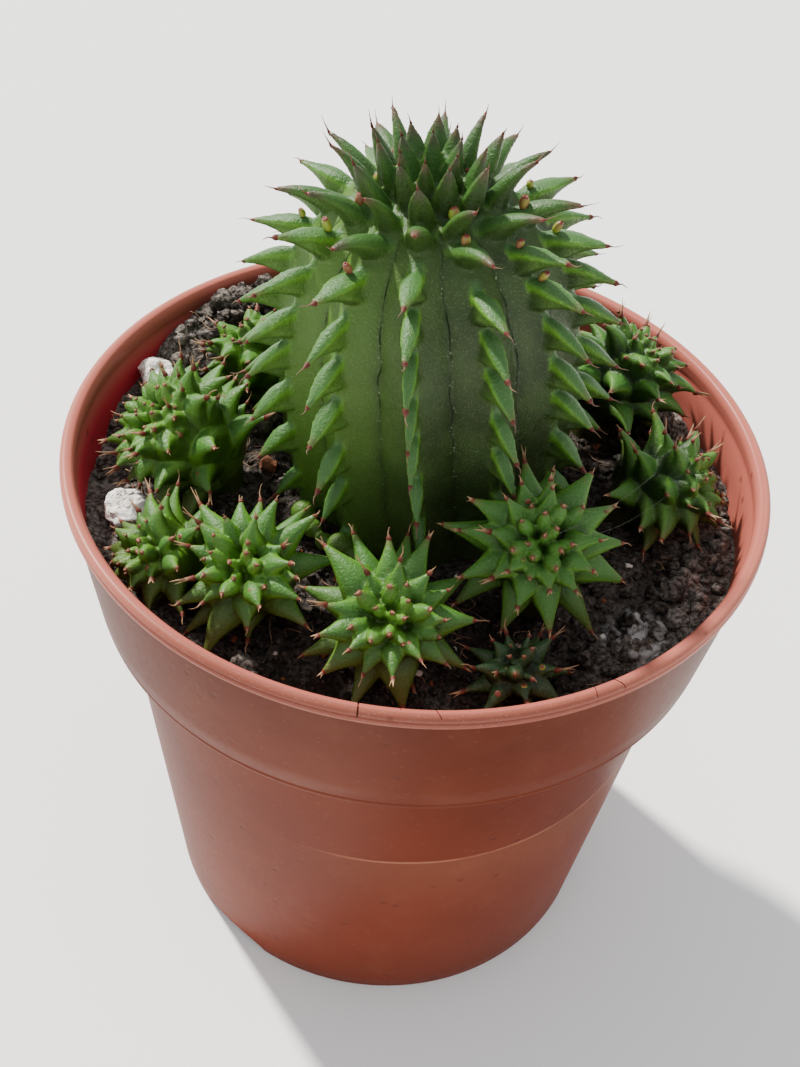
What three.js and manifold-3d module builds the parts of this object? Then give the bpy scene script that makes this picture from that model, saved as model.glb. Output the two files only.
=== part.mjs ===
// A ribbed, spineless euphorbia with a ring of offsets, in a 10.5 cm plastic nursery pot.
// Millimetres, +Z up, the origin on the ground under the middle of the pot.
import * as THREE from 'three';
import { mergeVertices } from 'three/addons/utils/BufferGeometryUtils.js';
import Module from 'manifold-3d';

const wasm = await Module();
wasm.setup();

// Room between two pieces that touch
const GAP = 0.3;

// Pot: outer radii and heights of the moulding, thickness of its wall, and its holes
const POT = {
  rim: 52.5, height: 93.5, foot: 38.2, bodyTop: 45.4, collarLow: 48.8, collarHigh: 51.7,
  collarBottom: 69.2, lipHeight: 2.6, lipWidth: 2.1, wall: 1.0,
  footRing: 2.0, floorUnder: 3.0, floorTop: 4.3, floorRound: 1.0, stepDown: 1.6, sides: 48,
  drainHoles: 6, drainRadius: 3.0, drainCircle: 28, notches: 3, notchAngle: 232, notchWidth: 14, notchHeight: 2.0,
};

// Soil: its usual level, and the mound that rises to the rim at the back left
const SOIL = {
  level: 83.0, mound: 9.2, moundX: -35.6, moundY: 35.6, moundSpread: 13.0, lump: 0.55,
  sides: 28, rings: 5,
};

// Main stem: foot of its leaning axis in the soil, furrow radius, height over the soil, ribs and their teeth
const STEM = {
  x: 1.5, y: 4.0, z: 84.0, lean: -0.075, radius: 19.2, height: 49.0, footDepth: 7.5,
  ribs: 12, ribTurn: -88, ribTwist: -6, ribHeight: 2.9, shoulder: 0.35, roundness: 2.75,
  teeth: 10, firstTooth: 3.0, toothStep: 3.1, toothSpread: 0.25,
};
// The stem's teeth by their distance along the skin from the middle of the crown
const TOOTH_PITCH = [[0, 86], [5, 74], [8, 58], [11, 34], [15, 14], [20, 0], [28, -10], [42, -20]];
const TOOTH_LENGTH = [[0, 5.0], [3, 6.6], [8, 7.8], [16, 7.6], [24, 6.8], [36, 6.2], [46, 5.4], [56, 4.2]];
const TOOTH_WIDTH = [[0, 1.2], [6, 1.7], [14, 2.1], [40, 2.2], [56, 1.8]];
const TOOTH_DEPTH = [[0, 1.0], [12, 1.1], [24, 1.35], [56, 1.45]];

// Offsets: tip of the head, the way it faces, radius and length of its body, foot in the soil,
// number of teeth, length of the longest, and the turn of the first
const HEADS = [
  { name: 'offset_front', tip: [-1.2, -37.0, 94.5], axis: [0.02, -0.60, 0.80], radius: 6.2, length: 9.0,
    foot: [-1.5, -29.5], teeth: 25, reach: 7.0, turn: 20 },
  { name: 'offset_front_right', tip: [17.9, -25.4, 100.0], axis: [0.06, -0.58, 0.81], radius: 6.4, length: 10.0,
    foot: [18.6, -20.5], teeth: 25, reach: 7.2, turn: 75 },
  { name: 'offset_front_left', tip: [-22.4, -30.0, 94.0], axis: [-0.30, -0.50, 0.81], radius: 5.8, length: 9.0,
    foot: [-18.8, -24.5], teeth: 24, reach: 6.6, turn: 130 },
  { name: 'offset_left', tip: [-36.5, -26.0, 90.5], axis: [-0.72, -0.40, 0.56], radius: 5.2, length: 8.0,
    foot: [-29.5, -21.5], teeth: 26, reach: 5.6, turn: 200 },
  { name: 'offset_left_back', tip: [-39.0, -3.0, 95.5], axis: [-0.72, -0.10, 0.69], radius: 8.0, length: 14.0,
    foot: [-29.5, -1.5], teeth: 31, reach: 5.8, turn: 10 },
  { name: 'offset_back_left', tip: [-29.5, 19.5, 95.0], axis: [-0.45, 0.25, 0.86], radius: 5.5, length: 9.0,
    foot: [-25.5, 17.5], teeth: 24, reach: 5.6, turn: 300 },
  { name: 'offset_back', tip: [-6.0, 38.0, 94.0], axis: [-0.10, 0.55, 0.83], radius: 6.0, length: 10.0,
    foot: [-4.8, 32.5], teeth: 26, reach: 6.4, turn: 45 },
  { name: 'offset_back_right', tip: [15.0, 36.0, 94.5], axis: [0.25, 0.50, 0.83], radius: 5.8, length: 10.0,
    foot: [12.3, 31.0], teeth: 26, reach: 6.0, turn: 260 },
  { name: 'offset_right_back', tip: [34.2, 23.0, 97.5], axis: [0.50, 0.30, 0.81], radius: 6.5, length: 12.0,
    foot: [28.0, 19.4], teeth: 30, reach: 6.2, turn: 160 },
  { name: 'offset_right', tip: [42.0, -0.5, 92.0], axis: [0.84, -0.08, 0.54], radius: 6.0, length: 12.0,
    foot: [31.5, 0.5], teeth: 30, reach: 6.0, turn: 95 },
  { name: 'offset_front_small', tip: [16.4, -37.8, 89.0], axis: [0.10, -0.30, 0.95], radius: 3.8, length: 5.0,
    foot: [16.0, -36.4], teeth: 18, reach: 4.4, turn: 30 },
];
const HEAD_STEM = { radius: 3.8, depth: 7.5, sides: 10 };
const GOLDEN_ANGLE = 137.508;

// Loose pale stones: middle, radius, and flattening along z
const STONES = [
  { name: 'stone_left', at: [-41.4, -12.4, 84.6], radius: 3.6, flat: 0.72, turn: 20 },
  { name: 'stone_left_back', at: [-43.0, 16.4, 87.2], radius: 3.4, flat: 0.8, turn: 70 },
];

const { sin, cos, PI, hypot, exp, min, max, pow, sqrt } = Math;
const rad = (degrees) => degrees * PI / 180;
const vec = (x, y, z) => new THREE.Vector3(x, y, z);
const UP = vec(0, 0, 1);

// A repeatable draw between 0 and 1 for a numbered place
function draw(number) {
  const value = sin(number * 12.9898) * 43758.5453;
  return value - Math.floor(value);
}

// A closed three.js geometry as a solid for joining and cutting
function solid(geometry) {
  const source = geometry.clone();
  source.deleteAttribute('normal');
  source.deleteAttribute('uv');
  const merged = mergeVertices(source, 1e-4);
  const index = merged.index.array;
  const triangles = [];
  for (let i = 0; i < index.length; i += 3) {
    const [a, b, c] = index.slice(i, i + 3);
    if (a !== b && b !== c && a !== c) triangles.push(a, b, c);
  }
  return new wasm.Manifold(new wasm.Mesh({
    numProp: 3,
    vertProperties: new Float32Array(merged.attributes.position.array),
    triVerts: new Uint32Array(triangles),
  }));
}

// The largest body of a solid, as a named mesh with its own material
function piece(name, whole, look) {
  const bodies = whole.decompose().sort((a, b) => b.volume() - a.volume());
  const data = bodies[0].getMesh();
  const geometry = new THREE.BufferGeometry();
  geometry.setAttribute('position', new THREE.BufferAttribute(new Float32Array(data.vertProperties), 3));
  geometry.setIndex(new THREE.BufferAttribute(new Uint32Array(data.triVerts), 1));
  geometry.computeVertexNormals();
  const mesh = new THREE.Mesh(geometry, new THREE.MeshStandardMaterial(look));
  mesh.name = name;
  return mesh;
}

// A profile of [radius, height] points spun about +Z
function spun(profile, sides) {
  const points = profile.map(([radius, height]) => new THREE.Vector2(radius, height));
  return new THREE.LatheGeometry(points, sides).rotateX(PI / 2);
}

// Moves each vertex of a geometry by a rule
function reshape(geometry, rule) {
  const position = geometry.attributes.position;
  for (let i = 0; i < position.count; i++) {
    const moved = rule(vec(position.getX(i), position.getY(i), position.getZ(i)));
    position.setXYZ(i, moved.x, moved.y, moved.z);
  }
  return geometry;
}

// Stands a geometry made along +Z on a point, facing along an axis
function placed(geometry, point, axis) {
  geometry.applyQuaternion(new THREE.Quaternion().setFromUnitVectors(UP, axis));
  return geometry.translate(point.x, point.y, point.z);
}

// Pot

function bodyRadius(z) {
  return POT.foot + (POT.bodyTop - POT.foot) * z / POT.collarBottom;
}

function collarRadius(z) {
  const top = POT.height - POT.lipHeight;
  return POT.collarLow + (POT.collarHigh - POT.collarLow) * (z - POT.collarBottom) / (top - POT.collarBottom);
}

// Inside of the wall at a height
function innerRadius(z) {
  return (z < POT.collarBottom ? bodyRadius(z) : collarRadius(z)) - POT.wall;
}

function potShell() {
  const { foot, footRing, floorUnder, floorTop, collarBottom, height, rim, wall } = POT;
  const lipBottom = height - POT.lipHeight;
  const lipInner = rim - POT.lipWidth;
  return spun([
    [0, floorUnder], [foot - footRing, floorUnder], [foot - footRing, 0], [foot - 0.3, 0], [foot + 0.03, 0.3],
    [bodyRadius(collarBottom - 1), collarBottom - 1], [POT.collarLow - 0.4, collarBottom],
    [POT.collarLow, collarBottom + 0.4], [POT.collarHigh, lipBottom],
    [rim - 0.2, lipBottom + 0.3], [rim, lipBottom + 1.1], [rim - 0.15, height - 0.5], [rim - 0.7, height],
    [lipInner + 0.6, height], [lipInner, height - 0.4],
    [collarRadius(height - 3) - wall, height - 3], [innerRadius(collarBottom + 1), collarBottom + 1],
    [bodyRadius(collarBottom) - wall, collarBottom - POT.stepDown], [bodyRadius(floorTop) - wall, floorTop + 1],
    [bodyRadius(floorTop) - wall - POT.floorRound, floorTop], [0, floorTop],
  ], POT.sides);
}

function potCuts() {
  const cuts = [];
  for (let i = 0; i < POT.drainHoles; i++) {
    const angle = 2 * PI * i / POT.drainHoles;
    const drill = new THREE.CylinderGeometry(POT.drainRadius, POT.drainRadius, 8, 10).rotateX(PI / 2);
    cuts.push(drill.translate(POT.drainCircle * cos(angle), POT.drainCircle * sin(angle), POT.floorUnder));
  }
  for (let i = 0; i < POT.notches; i++) {
    const angle = rad(POT.notchAngle) + 2 * PI * i / POT.notches;
    const notch = new THREE.BoxGeometry(3 * POT.footRing, POT.notchWidth, 2 * POT.notchHeight);
    cuts.push(notch.rotateZ(angle).translate(POT.foot * cos(angle), POT.foot * sin(angle), 0));
  }
  return cuts.map(solid);
}

function pot() {
  const shell = potCuts().reduce((whole, cut) => whole.subtract(cut), solid(potShell()));
  return piece('pot', shell, { color: 0x96583f, roughness: 0.55, metalness: 0 });
}

// Soil

// Height of the soil's surface over a point
function soilHeight(x, y) {
  const away = hypot(x - SOIL.moundX, y - SOIL.moundY) / SOIL.moundSpread;
  const lumps = sin(0.31 * x + 1.3) * cos(0.27 * y - 0.4) + 0.6 * sin(0.63 * x - 0.52 * y);
  return SOIL.level + SOIL.mound * exp(-away * away / 2) + SOIL.lump * lumps;
}

function soilBody() {
  const floor = POT.floorTop + GAP;
  const inset = POT.wall + 2 * GAP;
  const profile = [[0, floor], [bodyRadius(floor) - inset - POT.floorRound, floor]];
  profile.push([bodyRadius(POT.collarBottom) - inset, POT.collarBottom - POT.stepDown + 0.2]);
  profile.push([collarRadius(POT.collarBottom + 1) - inset, POT.collarBottom + 1.4]);
  for (let ring = SOIL.rings; ring >= 0; ring--) {
    profile.push([(collarRadius(SOIL.level) - inset) * ring / SOIL.rings, SOIL.level]);
  }
  return reshape(spun(profile, SOIL.sides), (point) => {
    if (point.z < SOIL.level - 0.01) return point;
    return vec(point.x, point.y, soilHeight(point.x, point.y));
  });
}

// Main stem

const stemAxis = vec(STEM.lean, 0, 1).normalize();
const stemFoot = vec(STEM.x, STEM.y, STEM.z);

// Furrow radius at a share of the height: nearly straight sides, then a round crown
function furrowRadius(share) {
  const { radius, shoulder, roundness } = STEM;
  if (share < shoulder) return radius * (0.95 + 0.05 * sin(PI / 2 * share / shoulder));
  const up = (share - shoulder) / (1 - shoulder);
  return radius * pow(max(0, 1 - pow(up, roundness)), 1 / roundness);
}

// How far a rib stands out of the furrows, less at the foot and on the crown
function ribHeight(share) {
  return STEM.ribHeight * (0.55 + 0.45 * min(1, max(0, share) / 0.3)) * sqrt(max(0, 1 - pow(max(0, share), 6)));
}

// The angle of a rib's crest, which turns a little on its way up
function ribAngle(rib, share) {
  return rad(STEM.ribTurn + 360 * rib / STEM.ribs + STEM.ribTwist * share);
}

// 1 on a rib's crest, 0 in the furrow, with flat flanks between
function ribShape(angle, share) {
  const turns = (angle - ribAngle(0, share)) / (2 * PI) * STEM.ribs;
  return 1 - 2 * Math.abs(turns - Math.round(turns));
}

// A point on a crest or above it, by angle, share of the height and distance out
function stemPoint(angle, share, out) {
  const radius = furrowRadius(share) + ribHeight(share) + out;
  return vec(radius * cos(angle), radius * sin(angle), STEM.height * share);
}

function stemBody() {
  const { height, footDepth, ribs } = STEM;
  const profile = [[0, -footDepth], [0.7 * furrowRadius(0), -footDepth]];
  const shares = [-0.08, 0.02, 0.2, 0.4, 0.57, 0.71, 0.83, 0.92, 0.975];
  for (const share of shares) profile.push([furrowRadius(max(0, share)), height * share]);
  profile.push([0, height]);
  return reshape(spun(profile, 4 * ribs), (point) => {
    const radius = hypot(point.x, point.y);
    const share = point.z / height;
    if (radius < 0.1) return point;
    const angle = Math.atan2(point.y, point.x) + ribAngle(0, share);
    const buried = share * height < -0.9 * footDepth;
    const grown = buried ? radius : radius + ribHeight(share) * ribShape(angle, share);
    return vec(grown * cos(angle), grown * sin(angle), point.z);
  });
}

// Teeth

// A cone of few sides made along +X: broad root, concave underneath, its point bent along z
function toothShape(tooth) {
  const cone = new THREE.ConeGeometry(1, 1, tooth.sides, tooth.rows);
  const length = tooth.length + tooth.sink;
  return reshape(cone, (point) => {
    const share = min(1, max(0, point.y + 0.5));
    const full = pow(1 - share, 0.5);
    const section = share > 0.999 ? 0 : 1 / max(0.001, 1 - share);
    const side = -point.x * section * full * tooth.width;
    const tall = point.z * section * full * tooth.depth * (point.z > 0 ? 1 : 1.1 - 0.7 * share);
    return vec(share * length - tooth.sink, side, tall + tooth.bend * share * share);
  });
}

// A tooth's own directions: across it, and square to both that and the way it points
function toothFrame(tooth) {
  const side = tooth.up.clone().cross(tooth.out).normalize();
  return { side, back: tooth.out.clone().cross(side).normalize() };
}

// The tooth in its place: root on the skin, out the way it points, up the way its back faces
function toothSolid(tooth) {
  const { side, back } = toothFrame(tooth);
  const turn = new THREE.Matrix4().makeBasis(tooth.out, side, back).setPosition(tooth.root);
  return solid(toothShape(tooth).applyMatrix4(turn));
}

// Balls along a tooth that stand for the room it takes
function toothBalls(tooth) {
  const { back } = toothFrame(tooth);
  return [0.3, 0.65, 1.0].map((along) => ({
    at: tooth.root.clone().addScaledVector(tooth.out, along * tooth.length)
      .addScaledVector(back, tooth.bend * along * along),
    radius: tooth.width * (1 - 0.9 * along) + 0.25,
  }));
}

function distanceToSegment(point, from, to) {
  const line = to.clone().sub(from);
  const share = min(1, max(0, point.clone().sub(from).dot(line) / line.lengthSq()));
  return point.distanceTo(from.clone().addScaledVector(line, share));
}

// True if a ball is clear of the bodies, the teeth placed before, the soil and the pot
function ballIsClear(ball, obstacles) {
  const { at, radius } = ball;
  if (at.z - radius < soilHeight(at.x, at.y) + GAP) return false;
  if (hypot(at.x, at.y) + radius > innerRadius(at.z) - GAP) return false;
  for (const body of obstacles.bodies) {
    if (distanceToSegment(at, body.from, body.to) < radius + body.radius + GAP) return false;
  }
  return obstacles.balls.every((other) => at.distanceTo(other.at) > radius + other.radius);
}

// The ways a tooth may grow to stay clear: as it would, turned, or shorter
const TRIES = [[1, 0, 0], [1, 0.3, 0], [1, 0, 0.3], [1, 0, -0.3], [0.8, 0.2, 0], [0.8, 0, 0.35], [0.8, 0, -0.35],
  [0.62, 0.4, 0], [0.62, 0.2, 0.4], [0.62, 0.2, -0.4], [0.45, 0.5, 0]];

function clearTooth(tooth, obstacles) {
  const { side } = toothFrame(tooth);
  for (const [scale, lift, sway] of TRIES) {
    const out = tooth.out.clone().addScaledVector(tooth.up, lift).addScaledVector(side, sway).normalize();
    const width = tooth.width * (0.4 + 0.6 * scale);
    const depth = tooth.depth * (0.4 + 0.6 * scale);
    const grown = { ...tooth, out, length: tooth.length * scale, width, depth, bend: tooth.bend * scale };
    if (toothBalls(grown).every((ball) => ballIsClear(ball, obstacles))) return grown;
  }
  return null;
}

// Share of the stem's height at a distance along the skin from the middle of the crown
function shareAt(distance) {
  const steps = 400;
  let length = 0;
  for (let i = 0; i < steps; i++) {
    const high = 1 - i / steps;
    const low = high - 1 / steps;
    length += hypot(furrowRadius(low) - furrowRadius(high), STEM.height / steps);
    if (length >= distance) return low;
  }
  return 0;
}

// A straight line between the given [distance, value] points
function along(points, distance) {
  const next = points.findIndex(([at]) => at > distance);
  if (next < 1) return next < 0 ? points[points.length - 1][1] : points[0][1];
  const [[fromAt, from], [toAt, to]] = [points[next - 1], points[next]];
  return from + (to - from) * (distance - fromAt) / (toAt - fromAt);
}

// Teeth of the main stem, rib by rib from the middle of the crown down, upright there and drooping below
function stemTeeth() {
  const teeth = [];
  for (let rib = 0; rib < STEM.ribs; rib++) {
    for (let row = 0; row < STEM.teeth; row++) {
      const number = rib * STEM.teeth + row;
      const step = row + 0.5 * (rib % 2) + 0.3 * (draw(number) - 0.5);
      const distance = STEM.firstTooth + STEM.toothStep * step + STEM.toothSpread * step * step;
      const share = shareAt(distance);
      const angle = ribAngle(rib, share);
      const pitch = rad(along(TOOTH_PITCH, distance) + 8 * (draw(number + 500) - 0.5));
      const sway = 0.14 * (draw(number + 900) - 0.5);
      const outward = vec(cos(angle + sway), sin(angle + sway), 0);
      const width = along(TOOTH_WIDTH, distance);
      teeth.push({
        root: stemPoint(angle, share, -1.0),
        out: outward.clone().multiplyScalar(cos(pitch)).addScaledVector(UP, sin(pitch)),
        up: outward.clone().multiplyScalar(-sin(pitch)).addScaledVector(UP, cos(pitch)),
        length: along(TOOTH_LENGTH, distance) + 1.0,
        width,
        depth: width * along(TOOTH_DEPTH, distance),
        bend: share < 0.6 ? -0.6 : 0.3,
        sink: 1.4, sides: 3, rows: distance < 8 ? 1 : 2,
      });
    }
  }
  const turn = new THREE.Quaternion().setFromUnitVectors(UP, stemAxis);
  for (const tooth of teeth) {
    tooth.root.applyQuaternion(turn).add(stemFoot);
    tooth.out.applyQuaternion(turn);
    tooth.up.applyQuaternion(turn);
  }
  return teeth;
}

// Offsets

// Profile of a head's body under its tip at the origin, from its foot up
function headProfile(head, grow) {
  const { radius, length } = head;
  return [
    [0, -length - grow], [0.62 * radius + grow, -length - grow], [0.92 * radius + grow, -0.66 * length],
    [radius + grow, -0.42 * length], [0.86 * radius + grow, -0.2 * length],
    [0.5 * radius + grow, -0.05 * length + grow], [0, grow],
  ];
}

function headPlaces(head) {
  const tip = vec(...head.tip);
  const axis = vec(...head.axis).normalize();
  const low = tip.clone().addScaledVector(axis, -head.length);
  const foot = vec(head.foot[0], head.foot[1], soilHeight(...head.foot));
  const stemDirection = low.clone().addScaledVector(axis, 1.5).sub(foot).normalize();
  return { tip, axis, low, foot, stemDirection };
}

// A head's body and stem, or the plain hole for them when grown
function headCore(head, grow) {
  const { tip, axis, low, foot, stemDirection } = headPlaces(head);
  const body = placed(spun(headProfile(head, grow), HEAD_STEM.sides), tip, axis);
  const radius = min(HEAD_STEM.radius, 0.62 * head.radius);
  const bottom = foot.clone().addScaledVector(stemDirection, -HEAD_STEM.depth - grow);
  const top = low.clone().addScaledVector(axis, 1.5);
  const length = top.distanceTo(bottom);
  const stem = new THREE.CylinderGeometry(radius + grow, 0.8 * radius + grow, length, HEAD_STEM.sides).rotateX(PI / 2);
  return solid(body).add(solid(placed(stem.translate(0, 0, length / 2), bottom, stemDirection)));
}

function headBody(head) {
  const { tip, axis, low } = headPlaces(head);
  const round = head.radius * 0.97;
  return { from: tip.clone().addScaledVector(axis, -round), to: low.clone().addScaledVector(axis, 2), radius: round };
}

// Teeth of a head in a spiral from its tip: buds in the middle, the longest on the shoulder
function headTeeth(head) {
  const { tip, axis } = headPlaces(head);
  const turn = new THREE.Quaternion().setFromUnitVectors(UP, axis);
  const teeth = [];
  for (let i = 1; i < head.teeth; i++) {
    const down = pow((i + 0.4) / head.teeth, 0.62);
    const depth = -head.length * 0.86 * pow(down, 1.9);
    const radius = head.radius * sin(min(PI / 2, 2.1 * down)) - 0.7;
    const angle = rad(head.turn + GOLDEN_ANGLE * i + 14 * (draw(i + head.turn) - 0.5));
    const lean = rad(8 + 92 * down);
    const outward = vec(cos(angle), sin(angle), 0);
    const size = min(1, 0.15 + 0.85 * pow(i / (0.55 * head.teeth), 1.5));
    teeth.push({
      root: vec(radius * cos(angle), radius * sin(angle), depth).applyQuaternion(turn).add(tip),
      out: outward.clone().multiplyScalar(sin(lean)).addScaledVector(UP, cos(lean)).applyQuaternion(turn),
      up: outward.clone().multiplyScalar(-cos(lean)).addScaledVector(UP, sin(lean)).applyQuaternion(turn),
      length: head.reach * size * (0.9 + 0.2 * draw(3 * i + head.turn)) + 0.6,
      width: 0.48 * head.reach * (0.35 + 0.65 * size),
      depth: 0.48 * head.reach * (0.35 + 0.65 * size),
      bend: 0.4 * size,
      sink: 1.3, sides: 3, rows: 1,
    });
  }
  return teeth;
}

// Plant: the bodies first, then each tooth where it is clear of what is there already

const headBodies = HEADS.map(headBody);
const placedBalls = [];

function grownTeeth(teeth, otherBodies) {
  const obstacles = { bodies: otherBodies, balls: [...placedBalls] };
  const kept = teeth.map((tooth) => clearTooth(tooth, obstacles)).filter((tooth) => tooth);
  for (const tooth of kept) placedBalls.push(...toothBalls(tooth));
  return kept;
}

function mainStem() {
  const body = solid(placed(stemBody(), stemFoot, stemAxis));
  const teeth = grownTeeth(stemTeeth(), headBodies).map(toothSolid);
  const whole = wasm.Manifold.union([body, ...teeth]);
  return piece('main_stem', whole, { color: 0x3f7a35, roughness: 0.5, metalness: 0 });
}

function offset(head, number) {
  const crown = stemFoot.clone().addScaledVector(stemAxis, STEM.height - STEM.radius);
  const trunk = { from: stemFoot, to: crown, radius: STEM.radius + STEM.ribHeight };
  const others = [trunk, ...headBodies.filter((body, index) => index !== number)];
  const teeth = grownTeeth(headTeeth(head), others).map(toothSolid);
  const whole = wasm.Manifold.union([headCore(head, 0), ...teeth]);
  return piece(head.name, whole, { color: 0x4c8a3d, roughness: 0.5, metalness: 0 });
}

// Soil with a plain hole for each stem and a hollow for each stone

function stoneSolid(stone, grow) {
  const ball = new THREE.IcosahedronGeometry(stone.radius, 1);
  const corners = mergeVertices(ball.deleteAttribute('normal').deleteAttribute('uv'), 1e-4);
  let corner = 0;
  reshape(corners, (point) => {
    corner += 1;
    const size = 1 - 0.16 * draw(corner + stone.turn) + grow / stone.radius;
    return point.multiply(vec(size, size, size * stone.flat + (1 - stone.flat) * grow / stone.radius));
  });
  return solid(corners.translate(...stone.at));
}

function stone(spec) {
  return piece(spec.name, stoneSolid(spec, 0), { color: 0xcfc8bd, roughness: 0.9, metalness: 0 });
}

function soil() {
  const { radius, ribHeight: rise, footDepth } = STEM;
  const hole = spun([[0, -footDepth - GAP], [radius + rise, -footDepth - GAP], [radius + rise, 20], [0, 20]], 36);
  const cuts = [solid(placed(hole, stemFoot, stemAxis))];
  for (const head of HEADS) cuts.push(headCore(head, GAP + 0.05));
  for (const spec of STONES) cuts.push(stoneSolid(spec, GAP));
  const whole = cuts.reduce((left, cut) => left.subtract(cut), solid(soilBody()));
  return piece('soil', whole, { color: 0x2b211c, roughness: 0.95, metalness: 0 });
}

const plant = new THREE.Group();
plant.name = 'potted_euphorbia';
plant.add(pot(), soil(), mainStem(), ...HEADS.map(offset), ...STONES.map(stone));

export default plant;
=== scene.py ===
"""A ribbed, spineless euphorbia with a ring of offsets, in a terracotta-coloured plastic nursery pot.

Shapes are modelled in millimetres, and each finished piece is brought to metres.
"""

import math
from collections import namedtuple

import bmesh
import bpy
import numpy as np
from mathutils import Matrix, Vector, kdtree
from mathutils.bvhtree import BVHTree


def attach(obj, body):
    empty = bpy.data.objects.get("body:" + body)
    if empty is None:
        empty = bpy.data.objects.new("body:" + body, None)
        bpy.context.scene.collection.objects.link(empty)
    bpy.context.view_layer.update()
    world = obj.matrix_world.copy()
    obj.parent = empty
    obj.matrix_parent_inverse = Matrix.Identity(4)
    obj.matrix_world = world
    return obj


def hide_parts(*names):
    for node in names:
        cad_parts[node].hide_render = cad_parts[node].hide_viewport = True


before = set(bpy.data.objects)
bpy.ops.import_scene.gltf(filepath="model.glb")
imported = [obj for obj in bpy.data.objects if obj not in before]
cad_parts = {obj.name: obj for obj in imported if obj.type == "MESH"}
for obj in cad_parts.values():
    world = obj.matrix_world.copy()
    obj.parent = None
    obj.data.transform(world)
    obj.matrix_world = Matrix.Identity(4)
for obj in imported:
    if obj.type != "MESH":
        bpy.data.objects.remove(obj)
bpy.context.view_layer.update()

MILLIMETRE = 0.001
ORIGIN = (0, 0, 0)
UP = Vector((0, 0, 1))

# Camera, fitted to the photograph
CAMERA_PLACE = Vector((0, -159.681, 228.515))
CAMERA_RIGHT = Vector((0.99439, 0.07815, 0.07124))
CAMERA_UP = Vector((-0.10554, 0.69119, 0.71493))
LENS = 47.235

# Pot
RIM = 52.5
POT_HEIGHT = 93.5
FOOT = 38.2
BODY_TOP = 45.4
COLLAR_LOW = 48.8
COLLAR_HIGH = 51.7
COLLAR_BOTTOM = 69.2
LIP_HEIGHT = 2.6
LIP_WIDTH = 2.1
WALL = 1.0
FOOT_RING = 2.0
FLOOR_UNDER = 3.0
FLOOR_TOP = 4.3
POT_SEGMENTS = 192
DRAIN_HOLES = 6
DRAIN_RADIUS = 3
DRAIN_CIRCLE = 28
NOTCHES = 3
NOTCH_TURN = 232
NOTCH_SIZE = (2.0, 7.0, 1)
# fine cracks in the lip: angle, width, reach inwards from the rim, and lean
LIP_CRACKS = ((-94.5, 0.22, 2.4, 0.10), (-88.8, 0.12, 1.1, 0.5), (-83.5, 0.14, 2.2, 0.45),
              (-60.2, 0.14, 2.2, -0.3), (-56.4, 0.16, 2.4, 0.4))

# Soil
SOIL_LEVEL = 83.0
MOUND = (9.2, -35.6, 35.6, 13.0)
SALT_CRUST = (33.5, -26.2)
OVER_SOIL = 120
CRUMBS = 1700
CLODS = 300
FIBRES = 150

# Main stem
STEM_FOOT = Vector((1.5, 4.0, 84.0))
STEM_AXIS = Vector((-0.075, 0, 1)).normalized()
STEM_RADIUS = 19.2
STEM_HEIGHT = 49.0
STEM_SHARES = (-0.15, -0.05, 0.03, 0.1, 0.18, 0.27, 0.36, 0.45, 0.54, 0.6, 0.65, 0.7, 0.74, 0.78, 0.815,
               0.848, 0.878, 0.905, 0.93, 0.951, 0.968, 0.982, 0.992, 0.998)
RIBS = 12
RIB_TURN = -88
RIB_TWIST = -6
RIB_HEIGHT = 2.9
SHOULDER = 0.35
ROUNDNESS = 2.75
STEM_TEETH = 10
# measures of the stem's teeth by the distance along the skin from the middle of the crown
TOOTH_PITCH = ((0, 86), (5, 74), (8, 56), (11, 32), (15, 12), (20, -8), (28, -20), (42, -27))
TOOTH_LENGTH = ((0, 5.0), (3, 6.6), (8, 7.8), (16, 7.6), (24, 6.8), (36, 6.2), (46, 5.4), (56, 4.2))
TOOTH_WIDTH = ((0, 1.3), (6, 1.75), (14, 2.1), (40, 2.2), (56, 1.8))
TOOTH_DEPTH = ((0, 1.0), (12, 1.1), (24, 1.35), (56, 1.45))
# little green knobs that sprout at the stem's foot: place and radius
FOOT_KNOBS = ((-15.9, -10.7, 86.6, 1.9), (-14.2, -12.9, 85.6, 1.5), (-9.8, -17.0, 86.6, 2.0),
              (-7.4, -18.2, 85.7, 1.5), (-12.2, -15.0, 85.2, 1.4))

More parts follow.
